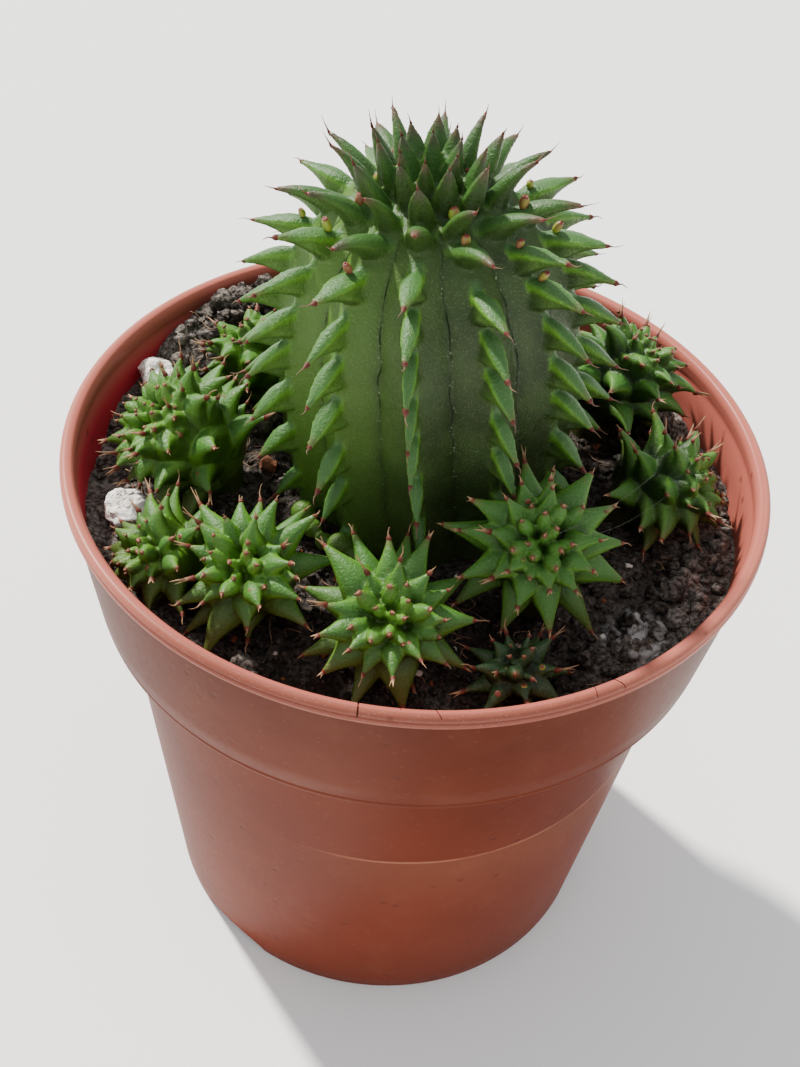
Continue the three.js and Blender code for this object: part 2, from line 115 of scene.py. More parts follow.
# Offsets: tip, axis, radius, length, foot, number of teeth, longest tooth, turn of the first tooth, and how
# much fatter than the others the teeth are
OFFSET_ROWS = {
    "offset_front": ((-1.2, -37.0, 94.5), (0.02, -0.60, 0.80), 6.2, 9.0, (-1.5, -29.5), 25, 7.0, 20),
    "offset_front_right": ((17.9, -25.4, 100.0), (0.06, -0.58, 0.81), 6.4, 10.0, (18.6, -20.5), 25, 7.2, 75),
    "offset_front_left": ((-22.4, -30.0, 94.0), (-0.3, -0.5, 0.81), 5.8, 9.0, (-18.8, -24.5), 24, 6.6, 130),
    "offset_left": ((-36.5, -26.0, 90.5), (-0.72, -0.4, 0.56), 5.2, 8.0, (-29.5, -21.5), 26, 5.6, 200, 1.05),
    "offset_left_back": ((-39, -3.0, 95.5), (-0.72, -0.1, 0.69), 8.0, 14.0, (-29.5, -1.5), 31, 5.8, 10, 1.3),
    "offset_back_left": ((-29.5, 19.5, 95.0), (-0.45, 0.25, 0.86), 5.5, 9.0, (-25.5, 17.5), 24, 5.6, 300),
    "offset_back": ((-6.0, 38.0, 94.0), (-0.10, 0.55, 0.83), 6.0, 10.0, (-4.8, 32.5), 26, 6.4, 45),
    "offset_back_right": ((15.0, 36.0, 94.5), (0.25, 0.50, 0.83), 5.8, 10.0, (12.3, 31.0), 26, 6.0, 260),
    "offset_right_back": ((34.2, 23.0, 97.5), (0.5, 0.3, 0.81), 6.5, 12.0, (28.0, 19.4), 30, 6.2, 160, 1.12),
    "offset_right": ((42.0, -0.5, 92.0), (0.84, -0.08, 0.54), 6.0, 12.0, (31.5, 0.5), 30, 6.0, 95, 1.1),
    "offset_front_small": ((16.4, -37.8, 89.0), (0.1, -0.3, 0.95), 3.8, 5.0, (16.0, -36.4), 18, 4.4, 30),
}
HIDDEN_OFFSETS = ("offset_back", "offset_back_right", "offset_back_left")
# offsets that lie in shade, painted with less of the young green
SHADED_OFFSETS = ("offset_front_right", "offset_front_small")
OFFSET_NECK_RADIUS = 3.8
OFFSET_NECK_DEPTH = 7.5
# an offset's head: height as a share of its length, and radius as a share of its own
HEAD_PROFILE = ((-1.0, 0.6), (-0.82, 0.76), (-0.66, 0.86), (-0.46, 0.88), (-0.34, 0.8), (-0.26, 0.68),
                (-0.18, 0.48), (-0.13, 0.24))
GOLDEN_ANGLE = 137.508
GAP_PLACES = 90

# Skin: the size of its grain, and the share of its faces that is kept
STEM_GRAIN = 0.36
OFFSET_GRAIN = 0.24
HIDDEN_GRAIN = 0.34
KEPT_FACES = 0.56

# Dried tips stay under the top of the plant's own box
TOP_LIMIT = 140.6
TIP_WIDTHS = (1.15, 1.1, 1.0)

# Cobweb threads: start, end and sag
STRANDS = (((19, -30, 106), (34, -8, 99), 1.2), ((22, -28, 104), (38, -6, 95), 2.0),
           ((30, -4, 100), (44, 6, 92), 1.4))


# Camera, lights and floor

def make_camera():
    """The photograph's place: 44 degrees above the ground, 24 cm from the plant."""
    bpy.ops.object.select_all(action="DESELECT")
    bpy.ops.object.camera_add()
    camera = bpy.context.object
    back = CAMERA_RIGHT.cross(CAMERA_UP)
    turned = Matrix((CAMERA_RIGHT, CAMERA_UP, back)).transposed().to_4x4()
    camera.matrix_world = Matrix.Translation(CAMERA_PLACE * MILLIMETRE) @ turned
    camera.data.lens = LENS
    camera.data.sensor_width = 36
    camera.data.clip_start = 0.01
    bpy.context.scene.camera = camera


def make_studio():
    """Sunlight from the upper left and a little behind, in a pale room."""
    bpy.ops.object.light_add(type="SUN")
    sun = bpy.context.object
    sun.name = "sunlight"
    sun.rotation_euler = Vector((-0.5, 0.52, 0.72)).to_track_quat("Z", "Y").to_euler()
    sun.data.energy = 8.6
    sun.data.angle = math.radians(4)
    sun.data.color = (1.0, 0.97, 0.9)
    world = bpy.data.worlds.new("studio")
    world.use_nodes = True
    sky = world.node_tree.nodes["Background"]
    sky.inputs["Color"].default_value = (0.96, 0.98, 1.0, 1)
    sky.inputs["Strength"].default_value = 0.98
    bpy.context.scene.world = world
    bpy.ops.mesh.primitive_plane_add(size=6)
    floor = bpy.context.object
    floor.name = "floor"
    pale = bpy.data.materials.new("pale floor")
    pale.use_nodes = True
    shader = pale.node_tree.nodes["Principled BSDF"]
    shader.inputs["Base Color"].default_value = (0.94, 0.94, 0.94, 1)
    shader.inputs["Roughness"].default_value = 0.9
    floor.data.materials.append(pale)


# Modelling by hand

def pick(*objects):
    """Selects only these objects, with the first one active."""
    bpy.ops.object.select_all(action="DESELECT")
    for one in objects:
        one.select_set(True)
    bpy.context.view_layer.objects.active = objects[0]


def edit(piece):
    pick(piece)
    bpy.ops.object.mode_set(mode="EDIT")


def leave():
    bpy.ops.object.mode_set(mode="OBJECT")


def select_points(piece, test):
    """In edit mode, selects the points whose place passes a test."""
    mesh = bmesh.from_edit_mesh(piece.data)
    for vertex in mesh.verts:
        vertex.select_set(test(vertex.co))
    mesh.select_flush_mode()
    bmesh.update_edit_mesh(piece.data)


def lofted(rings, sides, shape=None, turns=None):
    """A closed body drawn out ring by ring along +Z.

    A ring is height, middle along x and y, and half width along x and y. turns holds the turn of each ring in
    degrees. shape may change the outline of the first ring before it is drawn out.
    """
    turns = turns or [0] * len(rings)
    height, x, y, wide, deep = rings[0]
    bpy.ops.object.select_all(action="DESELECT")
    bpy.ops.mesh.primitive_circle_add(vertices=sides, radius=1, fill_type="NGON")
    piece = bpy.context.object
    edit(piece)
    if shape:
        shape(piece)
        bpy.ops.mesh.select_all(action="SELECT")
    bpy.ops.transform.resize(value=(wide, deep, 1), center_override=ORIGIN)
    bpy.ops.transform.rotate(value=-math.radians(turns[0]), orient_axis="Z", center_override=ORIGIN)
    bpy.ops.transform.translate(value=(x, y, height))
    for number in range(1, len(rings)):
        last = rings[number - 1]
        height, x, y, wide, deep = rings[number]
        middle = (x, y, height)
        step = (x - last[1], y - last[2], height - last[0])
        bpy.ops.mesh.extrude_region_move(TRANSFORM_OT_translate={"value": step})
        bpy.ops.transform.resize(value=(wide / last[3], deep / last[4], 1), center_override=middle)
        turn = turns[number] - turns[number - 1]
        if turn:
            bpy.ops.transform.rotate(value=-math.radians(turn), orient_axis="Z", center_override=middle)
    bpy.ops.mesh.select_all(action="SELECT")
    bpy.ops.mesh.normals_make_consistent(inside=False)
    leave()
    return piece


def round_rings(pairs):
    """Rings round the middle, from pairs of height and radius."""
    return [(height, 0, 0, radius, radius) for height, radius in pairs]


def blob(subdivisions, radius=1.0):
    bpy.ops.object.select_all(action="DESELECT")
    bpy.ops.mesh.primitive_ico_sphere_add(subdivisions=subdivisions, radius=radius)
    return bpy.context.object


def shake(piece, offset, uniform, normal, seed):
    """Enters edit mode and moves every point of a piece a little."""
    edit(piece)
    bpy.ops.mesh.select_all(action="SELECT")
    bpy.ops.transform.vertex_random(offset=offset, uniform=uniform, normal=normal, seed=seed)


def add_modifier(piece, kind, **settings):
    """Adds a modifier and applies it."""
    pick(piece)
    bpy.ops.object.modifier_add(type=kind)
    modifier = piece.modifiers[-1]
    for key, value in settings.items():
        setattr(modifier, key, value)
    bpy.ops.object.modifier_apply(modifier=modifier.name)


def joined(pieces, name):
    pick(*pieces)
    if len(pieces) > 1:
        bpy.ops.object.join()
    piece = bpy.context.object
    piece.name = name
    piece.data.name = name
    return piece


def copied(piece, matrix):
    """A copy with its own mesh, whose place is in the mesh."""
    copy = bpy.data.objects.new(piece.name + "_copy", piece.data.copy())
    bpy.context.scene.collection.objects.link(copy)
    copy.data.transform(matrix)
    return copy


def points_of(piece):
    places = np.empty(len(piece.data.vertices) * 3)
    piece.data.vertices.foreach_get("co", places)
    return places.reshape(-1, 3)


def strewn(shapes, places, name, tones):
    """Many copies of a few modelled shapes as one piece.

    places holds the number of the shape and the matrix of each copy, and tones its tone or its points' tones.
    """
    points = []
    faces = []
    values = []
    count = 0
    corners_of = [points_of(shape) for shape in shapes]
    sides_of = [[tuple(face.vertices) for face in shape.data.polygons] for shape in shapes]
    for (which, matrix), tone in zip(places, tones):
        corners = corners_of[which]
        turn = np.array(matrix)
        points.append(corners @ turn[:3, :3].T + turn[:3, 3])
        faces.extend(tuple(index + count for index in side) for side in sides_of[which])
        values.append(np.full(len(corners), tone))
        count += len(corners)
    mesh = bpy.data.meshes.new(name)
    mesh.from_pydata(np.concatenate(points), [], faces)
    piece = bpy.data.objects.new(name, mesh)
    bpy.context.scene.collection.objects.link(piece)
    store(piece, "tone", np.concatenate(values))
    return piece


def lengthwise(shape):
    """How far along +Z each point of a shape is, from 0 to 1."""
    return np.clip([vertex.co.z for vertex in shape.data.vertices], 0, 1)


def store(piece, name, values):
    attribute = piece.data.attributes.new(name, "FLOAT", "POINT")
    attribute.data.foreach_set("value", np.asarray(values, np.float32))


def remove(*pieces):
    for piece in pieces:
        bpy.data.objects.remove(piece)


def cloud_texture(name, size, depth):
    texture = bpy.data.textures.new(name, "CLOUDS")
    texture.noise_scale = size
    texture.noise_depth = depth
    return texture


def polar(radius, angle, *height):
    return radius * math.cos(angle), radius * math.sin(angle), *height


def aimed(direction, side="Y"):
    """The turn that brings +Z to a direction."""
    return direction.to_track_quat("Z", side).to_matrix().to_4x4()


def leaned(axis):
    """The shortest turn that brings +Z to an axis."""
    return UP.rotation_difference(axis).to_matrix().to_4x4()


def finished(piece, name, material, stands_for=(), smooth=None):
    """Names a piece, brings it to metres, and gives it its finish."""
    piece.name = name
    piece.data.name = name
    piece.data.transform(Matrix.Scale(MILLIMETRE, 4))
    piece.data.materials.clear()
    piece.data.materials.append(material)
    pick(piece)
    if smooth is None:
        bpy.ops.object.shade_smooth()
    else:
        bpy.ops.object.shade_smooth_by_angle(angle=math.radians(smooth))
    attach(piece, "root")
    if stands_for:
        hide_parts(*stands_for)


# Materials

def new_material(name):
    material = bpy.data.materials.new(name)
    material.use_nodes = True
    tree = material.node_tree
    return material, tree, tree.nodes["Principled BSDF"]


def put(tree, kind, settings=None, **inputs):
    """Adds a node. An input given a socket is linked, any other value is set."""
    node = tree.nodes.new(kind)
    for key, value in (settings or {}).items():
        setattr(node, key, value)
    for key, value in inputs.items():
        connect(tree, node.inputs[key.replace("_", " ")], value)
    return node


def connect(tree, socket, value):
    if isinstance(value, bpy.types.NodeSocket):
        tree.links.new(value, socket)
    else:
        socket.default_value = value


def maths(tree, operation, *values, clamp=False):
    node = put(tree, "ShaderNodeMath", {"operation": operation, "use_clamp": clamp})
    for socket, value in zip(node.inputs, values):
        connect(tree, socket, value)
    return node.outputs[0]


def product(tree, first, *others):
    for value in others:
        first = maths(tree, "MULTIPLY", first, value)
    return first


def length_of(tree, x, y):
    return maths(tree, "SQRT", maths(tree, "ADD", product(tree, x, x), product(tree, y, y)))


def blended(tree, share, first, second):
    """Mixes two colours by a share."""
    node = put(tree, "ShaderNodeMix", {"data_type": "RGBA"})
    connect(tree, node.inputs[0], share)
    connect(tree, node.inputs[6], first)
    connect(tree, node.inputs[7], second)
    return node.outputs[2]


def painted(tree, base, layers):
    """Lays tints over a base in turn. A layer is where it shows, how strongly, and its tint."""
    for mask, amount, tint in layers:
        base = blended(tree, product(tree, mask, amount), base, tint)
    return base


def between(tree, value, low, high, start=0.0, end=1.0):
    """Brings a value from one range to another, held at its ends."""
    node = put(tree, "ShaderNodeMapRange", {"interpolation_type": "SMOOTHSTEP"}, Value=value,
               From_Min=low, From_Max=high, To_Min=start, To_Max=end)
    return node.outputs[0]


def colour(red, green, blue):
    """A colour given as on a screen, as the shader wants it."""
    def linear(value):
        value /= 255
        return value / 12.92 if value <= 0.04045 else ((value + 0.055) / 1.055) ** 2.4
    return (linear(red), linear(green), linear(blue), 1)


def attributes(tree, *names):
    return [put(tree, "ShaderNodeAttribute", {"attribute_name": name}).outputs["Fac"] for name in names]


def place_on_object(tree):
    return put(tree, "ShaderNodeTexCoord").outputs["Object"]


def separated(tree, vector=None):
    """The x, y and z of a vector, or else of the place on the object, in metres."""
    return put(tree, "ShaderNodeSeparateXYZ", Vector=vector or place_on_object(tree)).outputs


def noise(tree, scale, detail=2.0, roughness=0.5):
    """A cloud of values round a half, at so many waves to the metre."""
    node = put(tree, "ShaderNodeTexNoise", Vector=place_on_object(tree), Scale=scale, Detail=detail,
               Roughness=roughness)
    return node.outputs[0]


def new_group(name, inputs, outputs):
    """A shader node group with named float inputs and outputs."""
    group = bpy.data.node_groups.new(name, "ShaderNodeTree")
    for label, value in inputs:
        socket = group.interface.new_socket(name=label, in_out="INPUT", socket_type="NodeSocketFloat")
        socket.default_value = value
    for label in outputs:
        group.interface.new_socket(name=label, in_out="OUTPUT", socket_type="NodeSocketFloat")
    return group, group.nodes.new("NodeGroupInput").outputs, group.nodes.new("NodeGroupOutput").inputs


def speckle_group():
    """Tiny pale dots, as on the skin of the plant and on dusty plastic."""
    group, given, result = new_group(
        "fine speckle", (("Scale", 3000.0), ("Amount", 0.5)), ("Mask",))
    cells = put(group, "ShaderNodeTexVoronoi", Scale=given["Scale"], Vector=place_on_object(group))
    dot = between(group, cells.outputs["Distance"], 0.42, 0.12)
    chosen = put(group, "ShaderNodeSeparateColor", Color=cells.outputs["Color"])
    rare = maths(group, "LESS_THAN", chosen.outputs[0], given["Amount"])
    connect(group, result["Mask"], product(group, dot, rare))
    return group


def mottle_group():
    """Broad soft variation and a finer grain of the same surface."""
    group, given, result = new_group("mottle", (("Scale", 60.0), ("Grain", 1500.0)), ("Broad", "Fine"))
    for scale, roughness, label in (("Scale", 0.55, "Broad"), ("Grain", 0.6, "Fine")):
        connect(group, result[label], between(group, noise(group, given[scale], 3.0, roughness), 0.3, 0.7))
    return group


SPECKLE = speckle_group()
MOTTLE = mottle_group()


def use_group(tree, group, **inputs):
    node = tree.nodes.new("ShaderNodeGroup")
    node.node_tree = group
    for key, value in inputs.items():
        connect(tree, node.inputs[key], value)
    return node.outputs


def speckle(tree, scale, amount):
    return use_group(tree, SPECKLE, Scale=scale, Amount=amount)["Mask"]


def mottle(tree, scale, grain):
    return use_group(tree, MOTTLE, Scale=scale, Grain=grain)


def finish_shader(tree, shader, base, rough, specular, height, distance):
    """Gives the shader its colour, its sheen and the relief of its surface."""
    connect(tree, shader.inputs["Base Color"], base)
    connect(tree, shader.inputs["Roughness"], rough)
    shader.inputs["Specular IOR Level"].default_value = specular
    relief = put(tree, "ShaderNodeBump", Height=height, Distance=distance)
    connect(tree, shader.inputs["Normal"], relief.outputs[0])


def plant_skin(name, flank, shade, face, edge, young_and_sunlit_green, fold, hollow, low_dry_and_shade):
    """Waxy green skin: darker flanks, paler tooth faces with bright edges, and red-brown tips."""
    material, tree, shader = new_material(name)
    place = separated(tree)
    flesh, tip, furrow, crown = attributes(tree, "flesh", "tip", "furrow", "crown")
    face_mask, rim, young, below, across = attributes(tree, "face", "rim", "young", "below", "across")
    clouds = mottle(tree, 170.0, 2600.0)
    dots = speckle(tree, 3700.0, 0.5)
    # the fold between two ribs wanders, and is broken here and there
    wiggle = maths(tree, "MULTIPLY_ADD", noise(tree, 210, 3), 1.1, -0.55)
    away = maths(tree, "ABSOLUTE", maths(tree, "ADD", across, wiggle))
    broken = between(tree, noise(tree, 330, 3), 0.38, 0.6, 0.15, 1.0)
    stronger_above = between(tree, place["Z"], 0.092, 0.12, 0.2, 0.9)
    line = product(tree, between(tree, away, 0.1, 0.015), furrow, broken, stronger_above)
    lint = product(tree, speckle(tree, 2500.0, 0.2), furrow, between(tree, away, 0.4, 0.05))
    worn = product(tree, between(tree, tip, 0.7, 1.0), between(tree, noise(tree, 300), 0.4, 0.6))
    base = painted(tree, blended(tree, clouds["Broad"], shade, flank), (
        # painted shade: on the offsets the skin between the teeth is darkened by hollow
        (maths(tree, "SUBTRACT", 1.0, flesh), hollow, fold),
        # painted light: the plant's left side, where the sun falls, is tinted with the young green
        (between(tree, place["X"], 0.004, -0.016), 0.75, young_and_sunlit_green),
        # painted light and shade: each tooth is darker at its foot and lighter towards its tip
        (between(tree, tip, 0.0, 0.7), 0.7, blended(tree, 0.5, flank, edge)),
        (face_mask, 0.9, face),
        (rim, 0.85, edge),
        (young, 0.7, young_and_sunlit_green),
        (dots, 0.18, colour(176, 188, 140)),
        # painted shade: the skin darkens softly towards the fold between two ribs
        (product(tree, between(tree, away, 0.6, 0.0), furrow), 0.3, fold),
        (line, 1.0, fold),
        (lint, 0.45, colour(186, 196, 160)),
        # lower down the skin turns olive-brown: partly drier skin, partly painted shade
        (between(tree, place["Z"], 0.0945, 0.086), low_dry_and_shade, colour(74, 70, 34)),
        # painted shade: the underside of each tooth is darkened
        (below, 0.6, fold),
        # painted shade: on the offsets the foot of each tooth is darkened by hollow
        (between(tree, tip, 0.32, 0.0), 0.6 * hollow, fold),
        (crown, 0.4, colour(44, 72, 22)),
        (product(tree, crown, between(tree, tip, 0.6, 1.0)), 0.8, colour(72, 52, 50)),
        (worn, 0.4, colour(118, 84, 58)),
        (between(tree, tip, 0.955, 0.99), 1.0, colour(128, 54, 42))))
    rough = maths(tree, "MULTIPLY_ADD", clouds["Fine"], 0.14, 0.3)
    height = maths(tree, "MULTIPLY_ADD", dots, 0.4, clouds["Fine"])
    height = maths(tree, "SUBTRACT", height, product(tree, line, 3.0))
    finish_shader(tree, shader, base, rough, 0.45, height, 0.00005)
    shader.inputs["IOR"].default_value = 1.36
    shader.inputs["Subsurface Weight"].default_value = 0.1
    shader.inputs["Subsurface Radius"].default_value = (0.5, 1.0, 0.25)
    shader.inputs["Subsurface Scale"].default_value = MILLIMETRE
    return material


def dry_material(name, dark, pale):
    """Dried leaf tips: red-brown at their foot, straw at their point."""
    material, tree, shader = new_material(name)
    grain = noise(tree, 2600, 2)
    base = blended(tree, between(tree, attributes(tree, "tone")[0], 0.04, 0.5), dark, pale)
    base = blended(tree, between(tree, grain, 0.4, 0.8, 0.0, 0.5), base, colour(88, 50, 36))
    finish_shader(tree, shader, base, 0.6, 0.3, grain, 0.00003)
    return material


def pot_material():
    """Terracotta-coloured plastic, paler under a line, scuffed and pitted, paler on the lip, with painted
    light and shade.
    """
    material, tree, shader = new_material("terracotta plastic")
    x, y, z = separated(tree)
    round_axis = length_of(tree, x, y)
    clouds = mottle(tree, 28.0, 900.0)
    pits = speckle(tree, 520.0, 0.05)
    # the plastic is paler under a line, which lies a little lower in front; the paler band fades out to the
    # left
    line = maths(tree, "MULTIPLY_ADD", y, 0.10, 0.0512)
    line = maths(tree, "MULTIPLY_ADD", noise(tree, 60), 0.0006, line)
    under = maths(tree, "SUBTRACT", line, z)
    paler_under_line = product(tree, between(tree, under, -0.0001, 0.0004), between(tree, under, 0.022, 0.0),
                   between(tree, x, -0.022, 0.012), between(tree, y, 0.0, -0.012))
    scuff = product(tree, between(tree, noise(tree, 120, 4, 0.7), 0.52, 0.75), between(tree, under, 0, 0.006))
    band = product(tree, between(tree, z, 0.069, 0.0705), between(tree, noise(tree, 90, 4, 0.6), 0.4, 0.75))
    dull = maths(tree, "MULTIPLY_ADD", paler_under_line, 0.1, product(tree, scuff, 0.06))
    dull = maths(tree, "MULTIPLY_ADD", band, 0.04, dull, clamp=True)
    off_line = maths(tree, "ABSOLUTE", maths(tree, "SUBTRACT", under, 0.0003))
    pale_edge_of_line = product(tree, between(tree, off_line, 0.0004, 0.0001), between(tree, x, -0.014, 0.004),
                   between(tree, noise(tree, 140, 3), 0.3, 0.6, 0.1, 0.4))
    lip = product(tree, between(tree, z, 0.0905, 0.0915), between(tree, round_axis, 0.0498, 0.0506))
    grainy = product(tree, lip, speckle(tree, 2600.0, 0.6))
    # the collar leans out, so its two sides are told apart by a line that leans with it
    above_collar = maths(tree, "SUBTRACT", z, COLLAR_BOTTOM * MILLIMETRE)
    leaning = maths(tree, "MULTIPLY_ADD", above_collar, -0.1336, round_axis)
    inside = product(tree, between(tree, leaning, 0.0484, 0.0481), between(tree, z, 0.0698, 0.0712))
    # light shines through the wall behind the plants at the left
    glowing = product(tree, inside, between(tree, x, -0.012, -0.032), between(tree, z, 0.091, 0.0865))
    # painted light and shade: the plastic is painted lighter towards the foot and darker towards the collar
    upper = blended(tree, clouds["Broad"], colour(81, 32, 15), colour(92, 38, 19))
    lower = blended(tree, clouds["Broad"], colour(107, 44, 26), colour(119, 51, 31))
    base = blended(tree, maths(tree, "MULTIPLY", z, 11.8, clamp=True), lower, upper)
    base = painted(tree, base, (
        (dull, 1.0, colour(176, 132, 104)),
        (pale_edge_of_line, 1.0, colour(190, 128, 98)),
        (speckle(tree, 900.0, 0.12), 0.05, colour(180, 130, 100)),
        # the lip's paler pink is partly the plastic's own colour and partly a painted highlight, weaker at
        # the front
        (lip, between(tree, y, -0.049, -0.03, 0.24, 0.5), colour(226, 138, 120)),
        (grainy, 0.12, colour(220, 160, 142)),
        (inside, 0.8, colour(170, 92, 80)),
        (glowing, 0.85, colour(184, 38, 58)),
        (pits, 0.5, colour(78, 34, 24))))
    rough = maths(tree, "MULTIPLY_ADD", clouds["Fine"], 0.04, 0.42)
    rough = maths(tree, "MULTIPLY_ADD", dull, 0.5, rough)
    height = maths(tree, "SUBTRACT", product(tree, clouds["Fine"], 0.1), pits)
    height = maths(tree, "MULTIPLY_ADD", grainy, 0.8, height)
    finish_shader(tree, shader, base, rough, 0.06, height, 0.00003)
    connect(tree, shader.inputs["Coat Weight"], product(tree, lip, 0.16))
    shader.inputs["Coat Roughness"].default_value = 0.3
    return material


def soil_material(name, crumbs):
    """Dark peat, greyer and drier on its lumps, with pale and rusty grains."""
    material, tree, shader = new_material(name)
    x, y = separated(tree)[:2]
    upward = separated(tree, put(tree, "ShaderNodeNewGeometry").outputs["Normal"])[2]
    clouds = mottle(tree, 90.0, 1300.0)
    fine = clouds["Fine"]
    grains = speckle(tree, 1600.0, 0.1)
    dry = between(tree, maths(tree, "SUBTRACT", y, x), -0.01, 0.05)
    dry = maths(tree, "MAXIMUM", dry, between(tree, x, 0.034, 0.047))
    crust = between(tree, maths(tree, "MULTIPLY_ADD", fine, 0.4, upward), 0.75, 1.3)
    spread = maths(tree, "MULTIPLY_ADD", dry, 0.45, product(tree, clouds["Broad"], 0.4))
    grey = blended(tree, fine, colour(72, 66, 62), colour(128, 118, 110))
    base = blended(tree, fine, colour(15, 11, 9), colour(46, 36, 31))
    layers = [(crust, spread, grey)]
    if crumbs:
        tone = attributes(tree, "tone")[0]
        layers += [
            (between(tree, tone, 0.6, 0.85), maths(tree, "MULTIPLY_ADD", dry, 0.6, 0.3), grey),
            (between(tree, tone, 0.955, 0.965), 1.0, colour(128, 74, 46)),
            (between(tree, tone, 0.985, 0.988), 1.0, colour(206, 198, 186))]
    # paler peat along the wall at both sides: dry dusty peat at the right, and painted sunlight at the left,
    # over the rim's shadow
    sides = maths(tree, "MAXIMUM", between(tree, x, 0.022, 0.038), between(tree, x, -0.028, -0.04))
    edge = product(tree, between(tree, length_of(tree, x, y), 0.0385, 0.0465), sides)
    patches = between(tree, noise(tree, 230, 3), 0.4, 0.62, 0.15, 0.85)
    # a pale crust of salts at the front right
    crust_x, crust_y = (value * MILLIMETRE for value in SALT_CRUST)
    away = length_of(tree, maths(tree, "SUBTRACT", x, crust_x), maths(tree, "SUBTRACT", y, crust_y))
    salty = product(tree, between(tree, away, 0.0065, 0.002), between(tree, noise(tree, 520, 3), 0.45, 0.6))
    base = painted(tree, base, layers + [
        # painted sunlight at the left and dry peat at the right, along the wall
        (edge, patches, blended(tree, fine, colour(58, 50, 45), colour(158, 150, 142))),
        (salty, 1.0, colour(176, 174, 172)),
        (grains, 0.4, colour(132, 122, 110))])
    finish_shader(tree, shader, base, 0.92, 0.2, maths(tree, "ADD", fine, grains), 0.00025)
    return material


def stone_material():
    """Porous pale perlite with faint rosy and grey stains."""
    material, tree, shader = new_material("perlite")
    clouds = mottle(tree, 260.0, 1500.0)
    pores = speckle(tree, 1500.0, 0.5)
    base = painted(tree, blended(tree, clouds["Broad"], colour(250, 249, 246), colour(238, 228, 218)), (
        (pores, 0.25, colour(170, 160, 150)),
        (between(tree, noise(tree, 420, 3), 0.62, 0.78), 1.0, colour(206, 172, 152))))
    finish_shader(tree, shader, base, 0.8, 0.5, maths(tree, "SUBTRACT", clouds["Fine"], pores), 0.00018)
    return material


def bud_material():
    """Buds between the teeth: yellow-green cups, some of them drying, with a rusty mouth."""
    material, tree, shader = new_material("bud skin")
    drying = between(tree, noise(tree, 260, 1), 0.42, 0.6)
    cup = blended(tree, drying, colour(142, 158, 48), colour(132, 84, 52))
    mouth = between(tree, attributes(tree, "tone")[0], 0.72, 0.95)
    base = blended(tree, mouth, cup, colour(118, 50, 36))
    finish_shader(tree, shader, base, 0.5, 0.5, noise(tree, 2200), 0.00004)
    return material


def plain_detail_material(name, first, second, rough):
    """Roots, peat fibres and threads."""
    material, tree, shader = new_material(name)
    streak = noise(tree, 700, 3, 0.6)
    base = blended(tree, between(tree, streak, 0.35, 0.65), first, second)
    finish_shader(tree, shader, base, rough, 0.5, streak, 0.00003)
    return material


# Pot

def body_radius(z):
    return FOOT + (BODY_TOP - FOOT) * z / COLLAR_BOTTOM


def collar_radius(z):
    collar_height = POT_HEIGHT - LIP_HEIGHT - COLLAR_BOTTOM
    return COLLAR_LOW + (COLLAR_HIGH - COLLAR_LOW) * (z - COLLAR_BOTTOM) / collar_height


def inner_radius(z):
    return (body_radius(z) if z < COLLAR_BOTTOM else collar_radius(z)) - WALL


def drawn_profile(points, segments):
    """A line of (radius, height) points drawn out one by one, then spun round the pot's axis."""
    bpy.ops.object.select_all(action="DESELECT")
    bpy.ops.mesh.primitive_plane_add(size=1)
    piece = bpy.context.object
    edit(piece)
    bpy.ops.mesh.merge(type="CENTER")
    bpy.ops.transform.translate(value=(points[0][0], 0, points[0][1]))
    for last, point in zip(points, points[1:]):
        step = (point[0] - last[0], 0, point[1] - last[1])
        bpy.ops.mesh.extrude_region_move(TRANSFORM_OT_translate={"value": step})
    bpy.ops.mesh.select_all(action="SELECT")
    bpy.ops.mesh.spin(steps=segments, angle=2 * math.pi, center=ORIGIN, axis=(0, 0, 1))
    bpy.ops.mesh.select_all(action="SELECT")
    bpy.ops.mesh.remove_doubles(threshold=0.004)
    bpy.ops.mesh.normals_make_consistent(inside=False)
    leave()
    return piece


